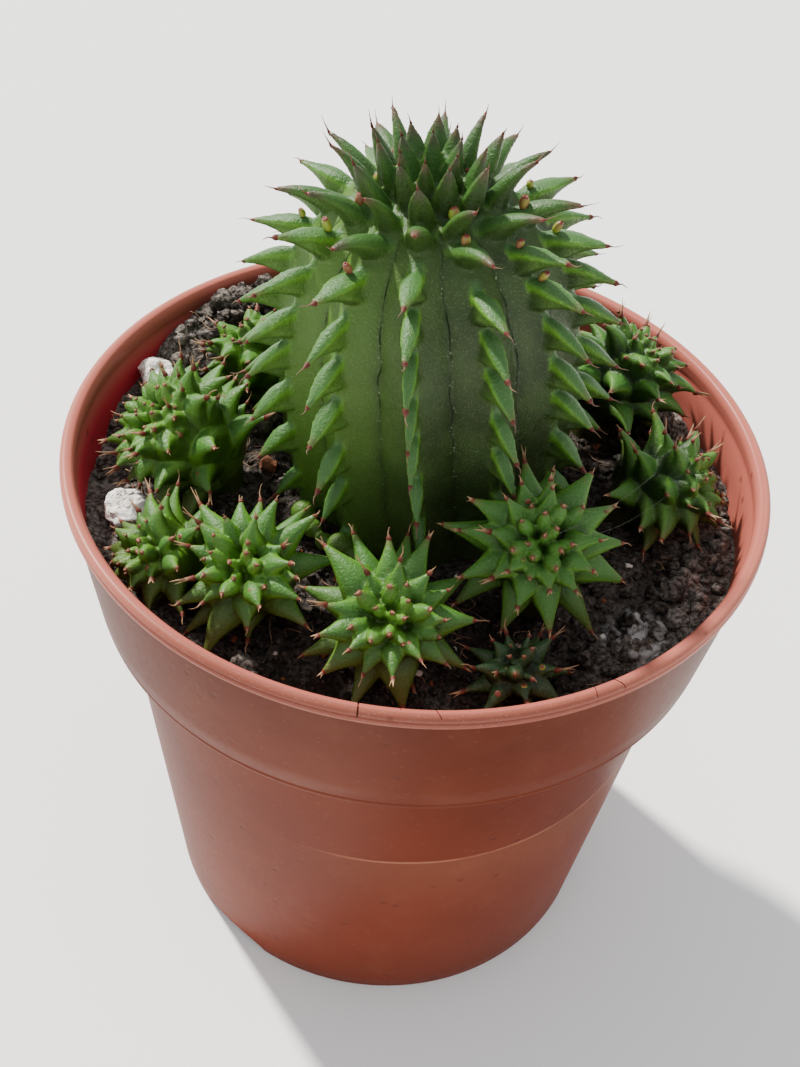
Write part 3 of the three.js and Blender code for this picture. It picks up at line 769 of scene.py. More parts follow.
def pot_profile():
    """The pot's section: under the floor, up the outside, over the lip and down the inside."""
    lip_bottom = POT_HEIGHT - LIP_HEIGHT
    lip_inner = RIM - LIP_WIDTH
    ring = FOOT - FOOT_RING
    points = [(0, FLOOR_UNDER), (ring - 0.8, FLOOR_UNDER), (ring, FLOOR_UNDER - 0.6), (ring, 0.3)]
    points += [(ring + 0.3, 0), (FOOT - 0.3, 0), (FOOT + 0.03, 0.35)]
    points += [(body_radius(z) - 0.02, z) for z in (3, 12, 24, 36, 48, 58, 66)]
    # the step out to the collar
    points += [(body_radius(68), 68.0), (body_radius(68.2) + 0.12, 68.3), (body_radius(68.6) + 0.16, 68.7)]
    points += [(COLLAR_LOW - 1.2, 68.95), (COLLAR_LOW - 0.35, 69.1), (COLLAR_LOW - 0.05, 69.4)]
    points += [(COLLAR_LOW + 0.02, 69.9), (COLLAR_LOW - 0.06, 70.3)]
    points += [(collar_radius(z), z) for z in (70.6, 74, 79, 84, 88)]
    # the bead of the lip, and its rolled edge
    points += [(COLLAR_HIGH - 0.06, lip_bottom - 0.35), (COLLAR_HIGH - 0.02, lip_bottom)]
    for step in range(7):
        out, height = polar(0.75, math.radians(-80 + 30 * step))
        points.append((RIM - 0.75 + out, lip_bottom + 1.0 + height))
    for step in range(5):
        out, height = polar(0.8, math.radians(22.5 * step))
        points.append((RIM - 0.85 + out, POT_HEIGHT - 0.8 + height))
    points += [(RIM - 1.2, POT_HEIGHT - 0.06), (RIM - 1.55, POT_HEIGHT - 0.1), (RIM - 1.8, POT_HEIGHT - 0.3)]
    points += [(lip_inner, POT_HEIGHT - 0.8), (lip_inner - 0.15, POT_HEIGHT - 1.5)]
    # the inside, with a seam under the lip and the step back over the body
    points += [(collar_radius(z) - WALL, z) for z in (90.4, 89.7)]
    points.append((collar_radius(89.5) - WALL - 0.22, 89.4))
    points += [(collar_radius(z) - WALL - 0.22, z) for z in (86, 80, 74, 71)]
    points += [(BODY_TOP - WALL + 1.2, 68.6), (BODY_TOP - WALL + 0.2, 67.9)]
    points += [(body_radius(z) - WALL, z) for z in (67, 50, 30, 12, FLOOR_TOP + 1)]
    inner = body_radius(FLOOR_TOP) - WALL
    return points + [(inner - 0.4, FLOOR_TOP + 0.3), (inner - 1.1, FLOOR_TOP), (0, FLOOR_TOP)]


def make_pot():
    pot = drawn_profile(pot_profile(), POT_SEGMENTS)
    cutters = []
    for number in range(DRAIN_HOLES):
        place = polar(DRAIN_CIRCLE, math.radians(360 / DRAIN_HOLES * number), FLOOR_UNDER)
        bpy.ops.mesh.primitive_cylinder_add(vertices=24, radius=DRAIN_RADIUS, depth=8, location=place)
        cutters.append(bpy.context.object)
    for number in range(NOTCHES):
        angle = math.radians(NOTCH_TURN + 360 / NOTCHES * number)
        bpy.ops.mesh.primitive_cylinder_add(vertices=32, radius=1, depth=6, location=polar(FOOT, angle, 0))
        notch = bpy.context.object
        notch.scale = NOTCH_SIZE
        notch.rotation_euler = (0, math.pi / 2, angle)
        cutters.append(notch)
    for degrees, width, reach, lean in LIP_CRACKS:
        angle = math.radians(degrees)
        place = polar(RIM - LIP_WIDTH + reach / 2 - 0.3, angle, POT_HEIGHT)
        bpy.ops.mesh.primitive_cube_add(
            size=1, location=place, rotation=(0, 0, angle + lean), scale=(reach, width, 2.2))
        cutters.append(bpy.context.object)
    tool = joined(cutters, "cutter")
    add_modifier(pot, "BOOLEAN", operation="DIFFERENCE", solver="EXACT", object=tool)
    remove(tool)
    finished(pot, "pot_shell", pot_material(), ("pot",), smooth=38)


# Soil

def soil_height(x, y):
    height, middle_x, middle_y, spread = MOUND
    away = np.hypot(x - middle_x, y - middle_y) / spread
    lumps = np.sin(0.31 * x + 1.3) * np.cos(0.27 * y - 0.4) + 0.6 * np.sin(0.63 * x - 0.52 * y)
    return SOIL_LEVEL + height * np.exp(-away * away / 2) + 0.55 * lumps


def make_soil():
    """A plug of peat: its rings are drawn close together on top, where its lumps are raised."""
    floor = FLOOR_TOP + 0.3
    step = 0.5
    rim = collar_radius(SOIL_LEVEL) - WALL - 0.12
    points = [(0, floor), (body_radius(floor) - 2.6, floor)]
    points.append((body_radius(COLLAR_BOTTOM) - 1.6, COLLAR_BOTTOM - 1.4))
    points += [(collar_radius(COLLAR_BOTTOM + 1) - 1.5, COLLAR_BOTTOM + 1.4), (rim, SOIL_LEVEL - 2.5)]
    points += [(radius, SOIL_LEVEL) for radius in (*np.arange(rim, 12, -step), 8.0, 4.0, 0)]
    soil = drawn_profile(points, 360)
    places = points_of(soil)
    top = places[:, 2] > SOIL_LEVEL - 0.01
    places[top, 2] = soil_height(places[top, 0], places[top, 1])
    soil.data.vertices.foreach_set("co", places.ravel())
    group = soil.vertex_groups.new(name="top")
    group.add(np.nonzero(top)[0].tolist(), 1.0, "REPLACE")
    for name, size, depth, strength in (("clods", 4.5, 3, 2.0), ("grit", 1.3, 4, 1.3)):
        texture = cloud_texture(name, size, depth)
        add_modifier(soil, "DISPLACE", texture=texture, strength=strength, mid_level=0.5, direction="Z",
                     vertex_group="top", texture_coords="LOCAL")
    return soil


def place_on_soil(surface, x, y):
    return surface.ray_cast(Vector((x, y, OVER_SOIL)), Vector((0, 0, -1)))[0]


def off_stem(x, y):
    return math.hypot(x - STEM_FOOT.x, y - STEM_FOOT.y)


def tumbled(random, lean):
    """A random turn about the upright, and a random lean."""
    turn = Matrix.Rotation(random.uniform(0, 6.28), 4, "Z")
    return turn @ Matrix.Rotation(random.uniform(-lean, lean), 4, "X")


def make_crumbs(surface, material):
    """Crumbs of peat and a few pale grains on the soil, each with its own size, turn and tone."""
    random = np.random.default_rng(11)
    shapes = []
    for number in range(6):
        shape = blob(2)
        shake(shape, 0.34, 0.1, 0.4, number)
        bpy.ops.transform.resize(value=(1.15, 0.95, 0.72), center_override=ORIGIN)
        leave()
        shapes.append(shape)
    places = []
    tones = []
    while len(places) < CRUMBS:
        angle = random.uniform(0, 2 * math.pi)
        radius = 50.0 * math.sqrt(random.uniform(0.12, 1))
        size = 0.28 + 0.5 * random.uniform() ** 1.6
        if random.uniform() < 0.07:
            size *= 2.4
        x, y = polar(radius, angle)
        if off_stem(x, y) < 20.5 or radius > inner_radius(SOIL_LEVEL) - 0.8 * size:
            continue
        place = place_on_soil(surface, x, y)
        if place is None:
            continue
        turn = tumbled(random, 0.6)
        place = Matrix.Translation(place + Vector((0, 0, 0.2 * size)))
        places.append((int(random.integers(len(shapes))), place @ turn @ Matrix.Scale(size, 4)))
        tones.append(random.uniform())
    crumbs = strewn(shapes, places, "soil_crumbs", tones)
    remove(*shapes)
    finished(crumbs, "soil_crumbs", material, smooth=50)


def make_clods(surface, material):
    """Lumps of peat, most of them along the pot's wall and on the mound at the back left."""
    random = np.random.default_rng(29)
    shapes = []
    for number in range(6):
        shape = blob(3)
        texture = cloud_texture("clod %d" % number, 0.5 + 0.08 * number, 3)
        add_modifier(shape, "DISPLACE", texture=texture, strength=1.1, mid_level=0.55)
        shake(shape, 0.07, 0.0, 0.5, number)
        leave()
        add_modifier(shape, "DECIMATE", ratio=0.7)
        shapes.append(shape)
    places = []
    tones = []
    while len(places) < CLODS:
        angle = random.uniform(0, 2 * math.pi)
        radius = 26 + 23 * random.uniform() ** 0.45
        size = 0.7 + 1.5 * random.uniform() ** 2.2
        x, y = polar(radius, angle)
        mounded = math.exp(-(math.hypot(x + 33, y - 33) / 20) ** 2)
        righthand = max(0.0, math.cos(angle + 0.1)) ** 2
        if random.uniform() > 0.15 + mounded + 0.7 * righthand * (radius > 40):
            continue
        if radius + size > inner_radius(SOIL_LEVEL) - 0.4:
            continue
        turn = tumbled(random, 1.5)
        place = Matrix.Translation(place_on_soil(surface, x, y) + Vector((0, 0, 0.25 * size)))
        places.append((int(random.integers(len(shapes))), place @ turn @ Matrix.Scale(size, 4)))
        tones.append(0.95 * random.uniform())
    clods = strewn(shapes, places, "soil_clods", tones)
    remove(*shapes)
    finished(clods, "soil_clods", material, smooth=60)


def make_fibres(surface):
    """Short roots and peat fibres that lie on the soil."""
    random = np.random.default_rng(5)
    shapes = []
    for number in range(4):
        rings = []
        for step in range(9):
            share = step / 8
            x = 0.12 * math.sin(share * (3.1 + number)) * (1 + 0.4 * number)
            y = 0.05 * math.sin(share * 5.0 + number)
            thick = 0.02 * (1 - 0.6 * share)
            rings.append((share - 0.5, x, y, thick, thick))
        shapes.append(lofted(rings, 5))
    places = []
    tones = []
    while len(places) < FIBRES:
        angle = random.uniform(0, 2 * math.pi)
        radius = random.uniform(22, 48)
        x, y = polar(radius, angle)
        place = place_on_soil(surface, x, y)
        if place is None or off_stem(x, y) < 21:
            continue
        length = random.uniform(3, 9)
        heading = random.uniform(0, 2 * math.pi)
        ends = Vector(polar(1.0, heading, 0)) * length / 2
        if max((place + ends).xy.length, (place - ends).xy.length) > 49.5:
            continue
        turn = aimed((ends * 2 + Vector((0, 0, random.uniform(-0.6, 0.9)))).normalized())
        thick = random.uniform(3.0, 7.0)
        size = Matrix.Diagonal((thick, thick, length, 1))
        place = Matrix.Translation(place + Vector((0, 0, 0.35)))
        places.append((int(random.integers(len(shapes))), place @ turn @ size))
        tones.append(random.uniform())
    fibres = strewn(shapes, places, "soil_fibres", tones)
    remove(*shapes)
    material = plain_detail_material("peat fibre", colour(92, 60, 42), colour(150, 122, 92), 0.8)
    finished(fibres, "soil_fibres", material)


def make_stone(name, stands_for, place, radius, flat, turn, material):
    """A porous grain of perlite, knobbly, with blunt corners and a little flat."""
    stone = blob(2, radius)
    shake(stone, 0.2 * radius, 0.0, 0.6, turn)
    for smoothness in (0.5, 0.3):
        bpy.ops.mesh.subdivide(number_cuts=2, smoothness=smoothness)
        bpy.ops.mesh.select_all(action="SELECT")
    bpy.ops.transform.resize(value=(1.2, 0.9, flat), center_override=ORIGIN)
    bpy.ops.transform.rotate(value=math.radians(turn), orient_axis="Z", center_override=ORIGIN)
    bpy.ops.transform.translate(value=place)
    leave()
    lumps = cloud_texture(name + " lumps", 1.9, 1)
    add_modifier(stone, "DISPLACE", texture=lumps, strength=1.2, mid_level=0.6)
    pores = cloud_texture(name + " pores", 0.45, 2)
    add_modifier(stone, "DISPLACE", texture=pores, strength=0.25, mid_level=0.5)
    finished(stone, name, material, (stands_for,))


# Teeth

# Rings of a tooth a millimetre long: height, middle, half width, half depth, and how much wider is its
# lower side
TOOTH_RINGS = {
    # a tooth of a rib: a narrow arched back, a hollow underside, and sides that run out into the rib's flanks
    "rib": ((-0.3, -0.6, 0.5, 1.2, 2.4), (-0.1, -0.34, 0.64, 1.12, 2.6), (0.08, -0.14, 0.82, 1.0, 2.5),
            (0.25, 0.0, 0.97, 0.84, 2.1), (0.42, 0.06, 1.0, 0.65, 1.65), (0.58, 0.09, 0.88, 0.46, 1.3),
            (0.74, 0.06, 0.68, 0.31, 1.1), (0.87, 0.015, 0.5, 0.22, 1.0), (0.95, -0.015, 0.42, 0.18, 1.0),
            (1.0, -0.03, 0.34, 0.15, 1.0)),
    # a horn of the shoulder, broad and deep where it leaves its rib
    "horn": ((-0.3, -0.3, 1.35, 1.6, 1.5), (-0.1, -0.08, 1.16, 1.32, 1.35), (0.08, 0.06, 1.02, 1.08, 1.2),
             (0.25, 0.15, 0.93, 0.9, 1.1), (0.42, 0.17, 0.82, 0.73, 1.0), (0.6, 0.1, 0.66, 0.56, 1.0),
             (0.76, -0.06, 0.49, 0.41, 1.0), (0.9, -0.28, 0.34, 0.29, 1.0), (1.0, -0.46, 0.24, 0.21, 1.0)),
    # a leaf-like tooth of the crown
    "crown": ((-0.25, 0.0, 1.1, 1.15, 1.2), (0.05, 0.0, 1.08, 1.02, 1.1), (0.26, 0.02, 1.1, 0.92, 1.0),
              (0.46, 0.03, 1.0, 0.76, 1.0), (0.65, 0.03, 0.78, 0.57, 1.0), (0.8, 0.02, 0.52, 0.4, 1.0),
              (0.92, 0.0, 0.28, 0.24, 1.0), (1.0, 0.0, 0.12, 0.12, 1.0)),
    # a fat cone of an offset, flared where it grows into its neighbours
    "cone": ((-0.3, -0.4, 1.5, 1.4, 1.0), (-0.08, -0.1, 1.25, 1.16, 1.0), (0.1, 0.06, 1.06, 0.96, 1.0),
             (0.26, 0.16, 0.9, 0.8, 1.0), (0.42, 0.2, 0.72, 0.64, 1.0), (0.56, 0.18, 0.55, 0.49, 1.0),
             (0.7, 0.11, 0.4, 0.36, 1.0), (0.82, 0.01, 0.29, 0.26, 1.0), (0.92, -0.1, 0.21, 0.19, 1.0),
             (1.0, -0.2, 0.15, 0.13, 1.0)),
    # a young tooth in the middle of an offset
    "bud": ((-0.8, 0.0, 0.8, 0.8, 1.0), (0.1, 0.0, 0.96, 0.96, 1.0), (0.45, 0.0, 0.98, 0.96, 1.0),
            (0.7, 0.0, 0.76, 0.74, 1.0), (0.88, 0.0, 0.5, 0.48, 1.0), (1.0, 0.0, 0.24, 0.24, 1.0)),
}
KINDS = list(TOOTH_RINGS)
# A ring's section: the points between two values of y are brought to a width and a depth, in turn
KEELED = ((-2, -0.3, 0.74, 1), (-2, -0.8, 0.4, 1), (0.45, 2, 0.96, 0.82))
RIBBONED = ((0.3, 0.6, 1.2, 1.3), (0.8, 2, 1.1, 0.88), (-0.2, 0.2, 0.82, 1), (-2, -0.3, 0.68, 1))
SECTIONS = {"rib": RIBBONED, "horn": KEELED, "crown": KEELED, "cone": (), "bud": ()}
# The fleshy part of each kind, as shares of a tooth's own width, depth and length
WIDTHS = {"rib": 0.55, "horn": 0.9, "crown": 1.0, "cone": 0.8, "bud": 0.53}
DEPTHS = WIDTHS | {"rib": 1.0}
LENGTHS = {"rib": 0.95, "horn": 0.97, "crown": 0.93, "cone": 0.93, "bud": 1.2}
# The ways a tooth may grow to stay clear: its scale, lift and sway
TRIES = ((1, 0, 0), (1, 0.3, 0), (1, 0, 0.3), (1, 0, -0.3), (0.8, 0.2, 0), (0.8, 0, 0.35), (0.8, 0, -0.35),
         (0.62, 0.4, 0), (0.62, 0.2, 0.4), (0.62, 0.2, -0.4), (0.45, 0.5, 0))


def draw(number):
    """A repeatable draw between 0 and 1 for a numbered place."""
    return (math.sin(number * 12.9898) * 43758.5453) % 1.0


def shape_section(piece, changes):
    for low, high, wide, deep in changes:
        select_points(piece, lambda place: low < place.y < high)
        bpy.ops.transform.resize(value=(wide, deep, 1), center_override=ORIGIN)


def model_teeth():
    """One tooth of each kind: root at the origin, a millimetre long along +Z, its back facing +Y."""
    made = {}
    for kind, rings in TOOTH_RINGS.items():
        table = [(height, 0, middle, wide, deep) for height, middle, wide, deep, lower in rings]
        tooth = lofted(table, 12, lambda piece: shape_section(piece, SECTIONS[kind]))
        edit(tooth)
        for height, middle, wide, deep, lower in rings:
            below = middle - 0.1 * deep
            if lower != 1.0:
                select_points(tooth, lambda place: abs(place.z - height) < 0.001 and place.y < below)
                bpy.ops.transform.resize(value=(lower, 1, 1), center_override=(0, middle, height))
        leave()
        tooth.name = "tooth_" + kind
        made[kind] = tooth
    return made


def straight(points, distance):
    """A straight line between the given (distance, value) points."""
    for (start, first), (end, second) in zip(points, points[1:]):
        if distance < end:
            return first + (second - first) * max(0.0, (distance - start) / (end - start))
    return points[-1][1]


def furrow_radius(share):
    if share < SHOULDER:
        return STEM_RADIUS * (0.95 + 0.05 * math.sin(math.pi / 2 * share / SHOULDER))
    up = (share - SHOULDER) / (1 - SHOULDER)
    return STEM_RADIUS * max(0.0, 1 - up ** ROUNDNESS) ** (1 / ROUNDNESS)


def rib_height(share):
    share = max(0.0, share)
    return RIB_HEIGHT * (0.55 + 0.45 * min(1.0, share / 0.3)) * math.sqrt(max(0.0, 1 - share ** 6))


def share_at(distance):
    """Share of the stem's height at a distance along the skin from the middle of the crown."""
    steps = 400
    length = 0.0
    for number in range(steps):
        high = 1 - number / steps
        low = high - 1 / steps
        length += math.hypot(furrow_radius(low) - furrow_radius(high), STEM_HEIGHT / steps)
        if length >= distance:
            return low
    return 0.0


def tooth_frame(tooth):
    """The directions to a tooth's side and to its back."""
    side = tooth["up"].cross(tooth["out"]).normalized()
    return side, tooth["out"].cross(side).normalized()


def tooth_balls(tooth):
    """Balls along a tooth that stand for the room it takes."""
    back = tooth_frame(tooth)[1]
    balls = []
    for along in (0.3, 0.65, 1.0):
        place = tooth["root"] + tooth["out"] * along * tooth["length"] + back * tooth["bend"] * along * along
        balls.append((place, tooth["width"] * (1 - 0.9 * along) + 0.25))
    return balls


def distance_to_line(point, start, end):
    line = end - start
    share = min(1.0, max(0.0, (point - start).dot(line) / line.length_squared))
    return (point - start - line * share).length


# Balls of the teeth that later teeth have to stay clear of
PLACED = []


def ball_is_clear(place, radius, bodies):
    if place.z - radius < soil_height(place.x, place.y) + 0.3:
        return False
    if math.hypot(place.x, place.y) + radius > inner_radius(place.z) - 0.3:
        return False
    if any(distance_to_line(place, start, end) < radius + thick + 0.3 for start, end, thick in bodies):
        return False
    if not PLACED:
        return True
    balls = np.array(PLACED)
    away = np.linalg.norm(balls[:, :3] - np.array(place), axis=1)
    return not (away <= balls[:, 3] + radius).any()


def clear_tooth(tooth, bodies):
    """The tooth, turned or made smaller until it finds room, or nothing."""
    side = tooth_frame(tooth)[0]
    for scale, lift, sway in TRIES:
        slimmer = 0.4 + 0.6 * scale
        grown = tooth | {
            "out": (tooth["out"] + tooth["up"] * lift + side * sway).normalized(),
            "length": tooth["length"] * scale,
            "width": tooth["width"] * slimmer,
            "depth": tooth["depth"] * slimmer,
            "bend": tooth["bend"] * scale,
        }
        if all(ball_is_clear(place, radius, bodies) for place, radius in tooth_balls(grown)):
            return grown
    return None


def clear_teeth(teeth, bodies):
    return [grown for grown in (clear_tooth(tooth, bodies) for tooth in teeth) if grown]


def keep_room(teeth):
    for tooth in teeth:
        PLACED.extend((*place, radius) for place, radius in tooth_balls(tooth))


def stem_teeth():
    """Teeth of the main stem, rib by rib from the middle of the crown down."""
    turn = UP.rotation_difference(STEM_AXIS)
    teeth = []
    for rib in range(RIBS):
        for row in range(STEM_TEETH):
            number = rib * STEM_TEETH + row
            step = row + 0.5 * (rib % 2) + 0.3 * (draw(number) - 0.5)
            distance = 3.0 + 3.1 * step + 0.25 * step * step
            share = share_at(distance)
            angle = math.radians(RIB_TURN + 360 * rib / RIBS + RIB_TWIST * share)
            pitch = math.radians(straight(TOOTH_PITCH, distance) + 8 * (draw(number + 500) - 0.5))
            outward = Vector(polar(1.0, angle + 0.14 * (draw(number + 900) - 0.5), 0))
            radius = furrow_radius(share) + rib_height(share) - 1.0
            width = straight(TOOTH_WIDTH, distance)
            slender = 0.76 if rib == 0 and row > 4 else 1.3 if 14 < distance < 19 else 1.0
            teeth.append({
                "root": turn @ Vector(polar(radius, angle, STEM_HEIGHT * share)) + STEM_FOOT,
                "out": turn @ (outward * math.cos(pitch) + UP * math.sin(pitch)),
                "up": turn @ (UP * math.cos(pitch) - outward * math.sin(pitch)),
                "length": straight(TOOTH_LENGTH, distance) + 1.0,
                "width": width,
                "depth": width * straight(TOOTH_DEPTH, distance),
                "bend": -0.6 if share < 0.6 else 0.3,
                "kind": "crown" if distance < 7.5 else "horn" if distance < 14 else "rib",
                "shape": slender * (0.82 + 0.36 * draw(number + 300)),
                "distance": distance,
            })
    return teeth


Offset = namedtuple("Offset", "name tip axis radius length low foot count reach first fatness")


def measured_offset(name, tip, axis, radius, length, foot, count, reach, first, fatness=1.0):
    """An offset with its axis, the lower end of its head and its foot on the soil worked out."""
    tip = Vector(tip)
    axis = Vector(axis).normalized()
    foot = Vector((*foot, soil_height(*foot)))
    return Offset(name, tip, axis, radius, length, tip - axis * length, foot, count, reach, first, fatness)


OFFSETS = [measured_offset(name, *row) for name, row in OFFSET_ROWS.items()]


def offset_room(offset):
    """The line and the thickness of the room that an offset's head takes."""
    thick = offset.radius * 0.97
    return offset.tip - offset.axis * thick, offset.low + offset.axis * 2, thick


def rooted(offset, down, deepest, sunk, angle, lean):
    """Where a tooth starts and which ways it faces, by its share of the way down an offset's head."""
    turn = UP.rotation_difference(offset.axis)
    outward = Vector(polar(1.0, angle, 0))
    away = offset.radius * math.sin(min(math.pi / 2, 2.1 * down)) - sunk
    return {
        "root": turn @ Vector(polar(away, angle, -deepest * down ** 1.9)) + offset.tip,
        "out": turn @ (outward * math.sin(lean) + UP * math.cos(lean)),
        "up": turn @ (UP * math.sin(lean) - outward * math.cos(lean)),
        "distance": 30 * down,
    }


def offset_teeth(offset):
    """Teeth of an offset in a spiral from its tip: buds in the middle, the longest on the shoulder."""
    first = offset.first
    teeth = []
    for number in range(1, offset.count):
        down = ((number + 0.4) / offset.count) ** 0.62
        angle = math.radians(first + GOLDEN_ANGLE * number + 24 * (draw(number + first) - 0.5))
        lean = math.radians(8 + 92 * down + 20 * (draw(5 * number + first) - 0.5))
        size = min(1.0, 0.15 + 0.85 * (number / (0.55 * offset.count)) ** 1.5)
        width = 0.48 * offset.reach * (0.35 + 0.65 * size) * (1.0 if down < 0.75 else 0.82)
        teeth.append(rooted(offset, down, offset.length * 0.86, 0.7, angle, lean) | {
            "length": offset.reach * size * (0.76 + 0.38 * draw(3 * number + first)) + 0.9,
            "width": width,
            "depth": width,
            "bend": 0.4 * size,
            "kind": "bud" if size < 0.36 else "cone",
            "shape": offset.fatness * (0.92 + 0.2 * draw(number + 2 * first)),
        })
    return teeth


def flesh_width(tooth):
    return tooth["width"] * WIDTHS[tooth["kind"]]


def gap_teeth(offset, teeth, bodies):
    """Small buds and young teeth that fill the gaps between an offset's main teeth."""
    added = []
    # a young tooth sits the deeper, the longer the one before it is
    deepest = offset.length
    for number in range(GAP_PLACES):
        down = ((number + 0.5) / GAP_PLACES) ** 0.6
        angle = math.radians(offset.first + 60 + GOLDEN_ANGLE * number)
        lean = math.radians(6 + 84 * down)
        size = min(1.0, down / 0.6)
        kind = "bud" if down < 0.3 else "cone"
        width = (0.6 + 1.35 * size) / WIDTHS[kind]
        length = (1.4 + (0.7 * offset.reach - 1.4) * size) * (0.8 + 0.4 * draw(number + offset.first))
        tooth = rooted(offset, down, deepest * 0.8, 0.5, angle, lean) | {
            "length": length,
            "width": width,
            "depth": width,
            "bend": 0.2,
            "kind": kind,
            "shape": 1.0,
        }
        deepest = length
        clear = all((tooth["root"] - other["root"]).length > 0.6 * (flesh_width(tooth) + flesh_width(other))
                    for other in teeth + added)
        if clear:
            grown = clear_tooth(tooth, bodies) if down > 0.4 else tooth
            if grown:
                added.append(grown)
    return added


def tooth_matrix(tooth):
    """Places a modelled tooth, with the size of its fleshy part."""
    side, back = tooth_frame(tooth)
    kind = tooth["kind"]
    columns = (side * tooth["width"] * WIDTHS[kind] * tooth["shape"], back * tooth["depth"] * DEPTHS[kind],
               tooth["out"] * tooth["length"] * LENGTHS[kind])
    return Matrix.Translation(tooth["root"]) @ Matrix(columns).transposed().to_4x4()


# Skin

def fleshed(parts, teeth, shapes, name, grain, smoothing):
    """Grows the parts and the teeth into one skin with soft joins, then thins its flatter places."""
    body = joined(parts + [copied(shapes[tooth["kind"]], tooth_matrix(tooth)) for tooth in teeth], name)
    grain *= 1.0
    add_modifier(body, "REMESH", mode="VOXEL", voxel_size=grain, use_smooth_shade=True)
    add_modifier(body, "SMOOTH", factor=0.5, iterations=smoothing)
    add_modifier(body, "DECIMATE", ratio=KEPT_FACES)
    mark_skin(body, teeth)
    return body


def eased(values, low, high):
    """Runs from 0 at low to 1 at high, with soft ends."""
    share = np.clip((values - low) / (high - low), 0, 1)
    return share * share * (3 - 2 * share)


def likely_teeth(places, teeth):
    """The numbers of the teeth near each place, the nearest first, a tooth more than once if it is long."""
    steps = 9
    tree = kdtree.KDTree(len(teeth) * steps)
    for number, tooth in enumerate(teeth):
        for step in range(steps):
            along = tooth["out"] * tooth["length"] * step / (steps - 1)
            tree.insert(tooth["root"] + along, number)
    tree.balance()
    return np.array([[hit[1] for hit in tree.find_n(place, 12)] for place in places])


def mark_skin(body, teeth):
    """Keeps on the skin how near each point is to a tooth's tip, and whether it is on its back or an edge."""
    places = points_of(body)
    normals = np.array([tuple(vertex.normal) for vertex in body.data.vertices])
    frames = np.array([[tuple(axis) for axis in (*tooth_frame(tooth), tooth["out"])] for tooth in teeth])
    sizes = np.array([(tooth["width"] * WIDTHS[tooth["kind"]] * tooth["shape"],
                       tooth["depth"] * DEPTHS[tooth["kind"]],
                       tooth["length"] * LENGTHS[tooth["kind"]]) for tooth in teeth])
    roots = np.array([tuple(tooth["root"]) for tooth in teeth])
    kinds = np.array([KINDS.index(tooth["kind"]) for tooth in teeth])
    tables = [np.array(rings) for rings in TOOTH_RINGS.values()]
    likely = likely_teeth(places, teeth)
    nearest = likely[:, 0]
    best = np.full(len(places), 1e9)
    along, across, up = np.zeros((3, len(places)))
    for column in likely.T:
        own = np.einsum("nij,nj->ni", frames[column], places - roots[column]) / sizes[column]
        middle, wide, deep = np.zeros((3, len(places)))
        for index, table in enumerate(tables):
            chosen = kinds[column] == index
            for values, entry in ((middle, 1), (wide, 2), (deep, 3)):
                values[chosen] = np.interp(own[chosen, 2], table[:, 0], table[:, entry])
        side_share = np.abs(own[:, 0]) / wide
        up_share = (own[:, 1] - middle) / deep
        past_ends = 3 * np.maximum(0, own[:, 2] - 1.02) + np.maximum(0, -own[:, 2])
        reach = np.hypot(side_share, up_share) + past_ends
        closer = reach < best
        best[closer] = reach[closer]
        nearest = np.where(closer, column, nearest)
        along[closer] = own[closer, 2]
        across[closer] = side_share[closer]
        up[closer] = up_share[closer]
    kinds = kinds[nearest]
    near = eased(np.hypot(across, up), 1.9, 1.15) * eased(along, -0.45, 0.0)
    turned = np.einsum("ij,ij->i", normals, frames[nearest][:, 1])
    store(body, "flesh", near)
    store(body, "tip", np.clip(along, 0, 1) * near)
    store(body, "face", near * eased(turned, 0.25, 0.6) * eased(across, 1.12, 0.9))
    # painted shade: how far a point faces away from its tooth's back, for darkening the tooth's underside
    store(body, "below", near * eased(-turned, 0.0, 0.7) * eased(along, 1.0, 0.7))
    edge = np.exp(-((across - 1.0) / 0.2) ** 2) * eased(up, 0.1, 0.45)
    store(body, "rim", near * edge * (kinds != KINDS.index("bud")) * eased(along, -0.3, 0.0))
    store(body, "crown", near * np.isin(kinds, (KINDS.index("horn"), KINDS.index("crown"))))


# Stem and offsets

def rib_step(place):
    """How many eighths of a rib a point of the ring lies from the nearest crest."""
    turns = math.degrees(math.atan2(place.y, place.x)) / (360 / RIBS / 8)
    return abs((round(turns) + 4) % 8 - 4)


def stem_section(piece):
    """Draws the ring out into ribs: narrow crests, hollow flanks and a fold between them."""
    for step, out in enumerate((0.151, 0.098, 0.056, 0.024, -0.014)):
        select_points(piece, lambda place: rib_step(place) == step)
        bpy.ops.transform.resize(value=(1 + out, 1 + out, 1), center_override=ORIGIN)


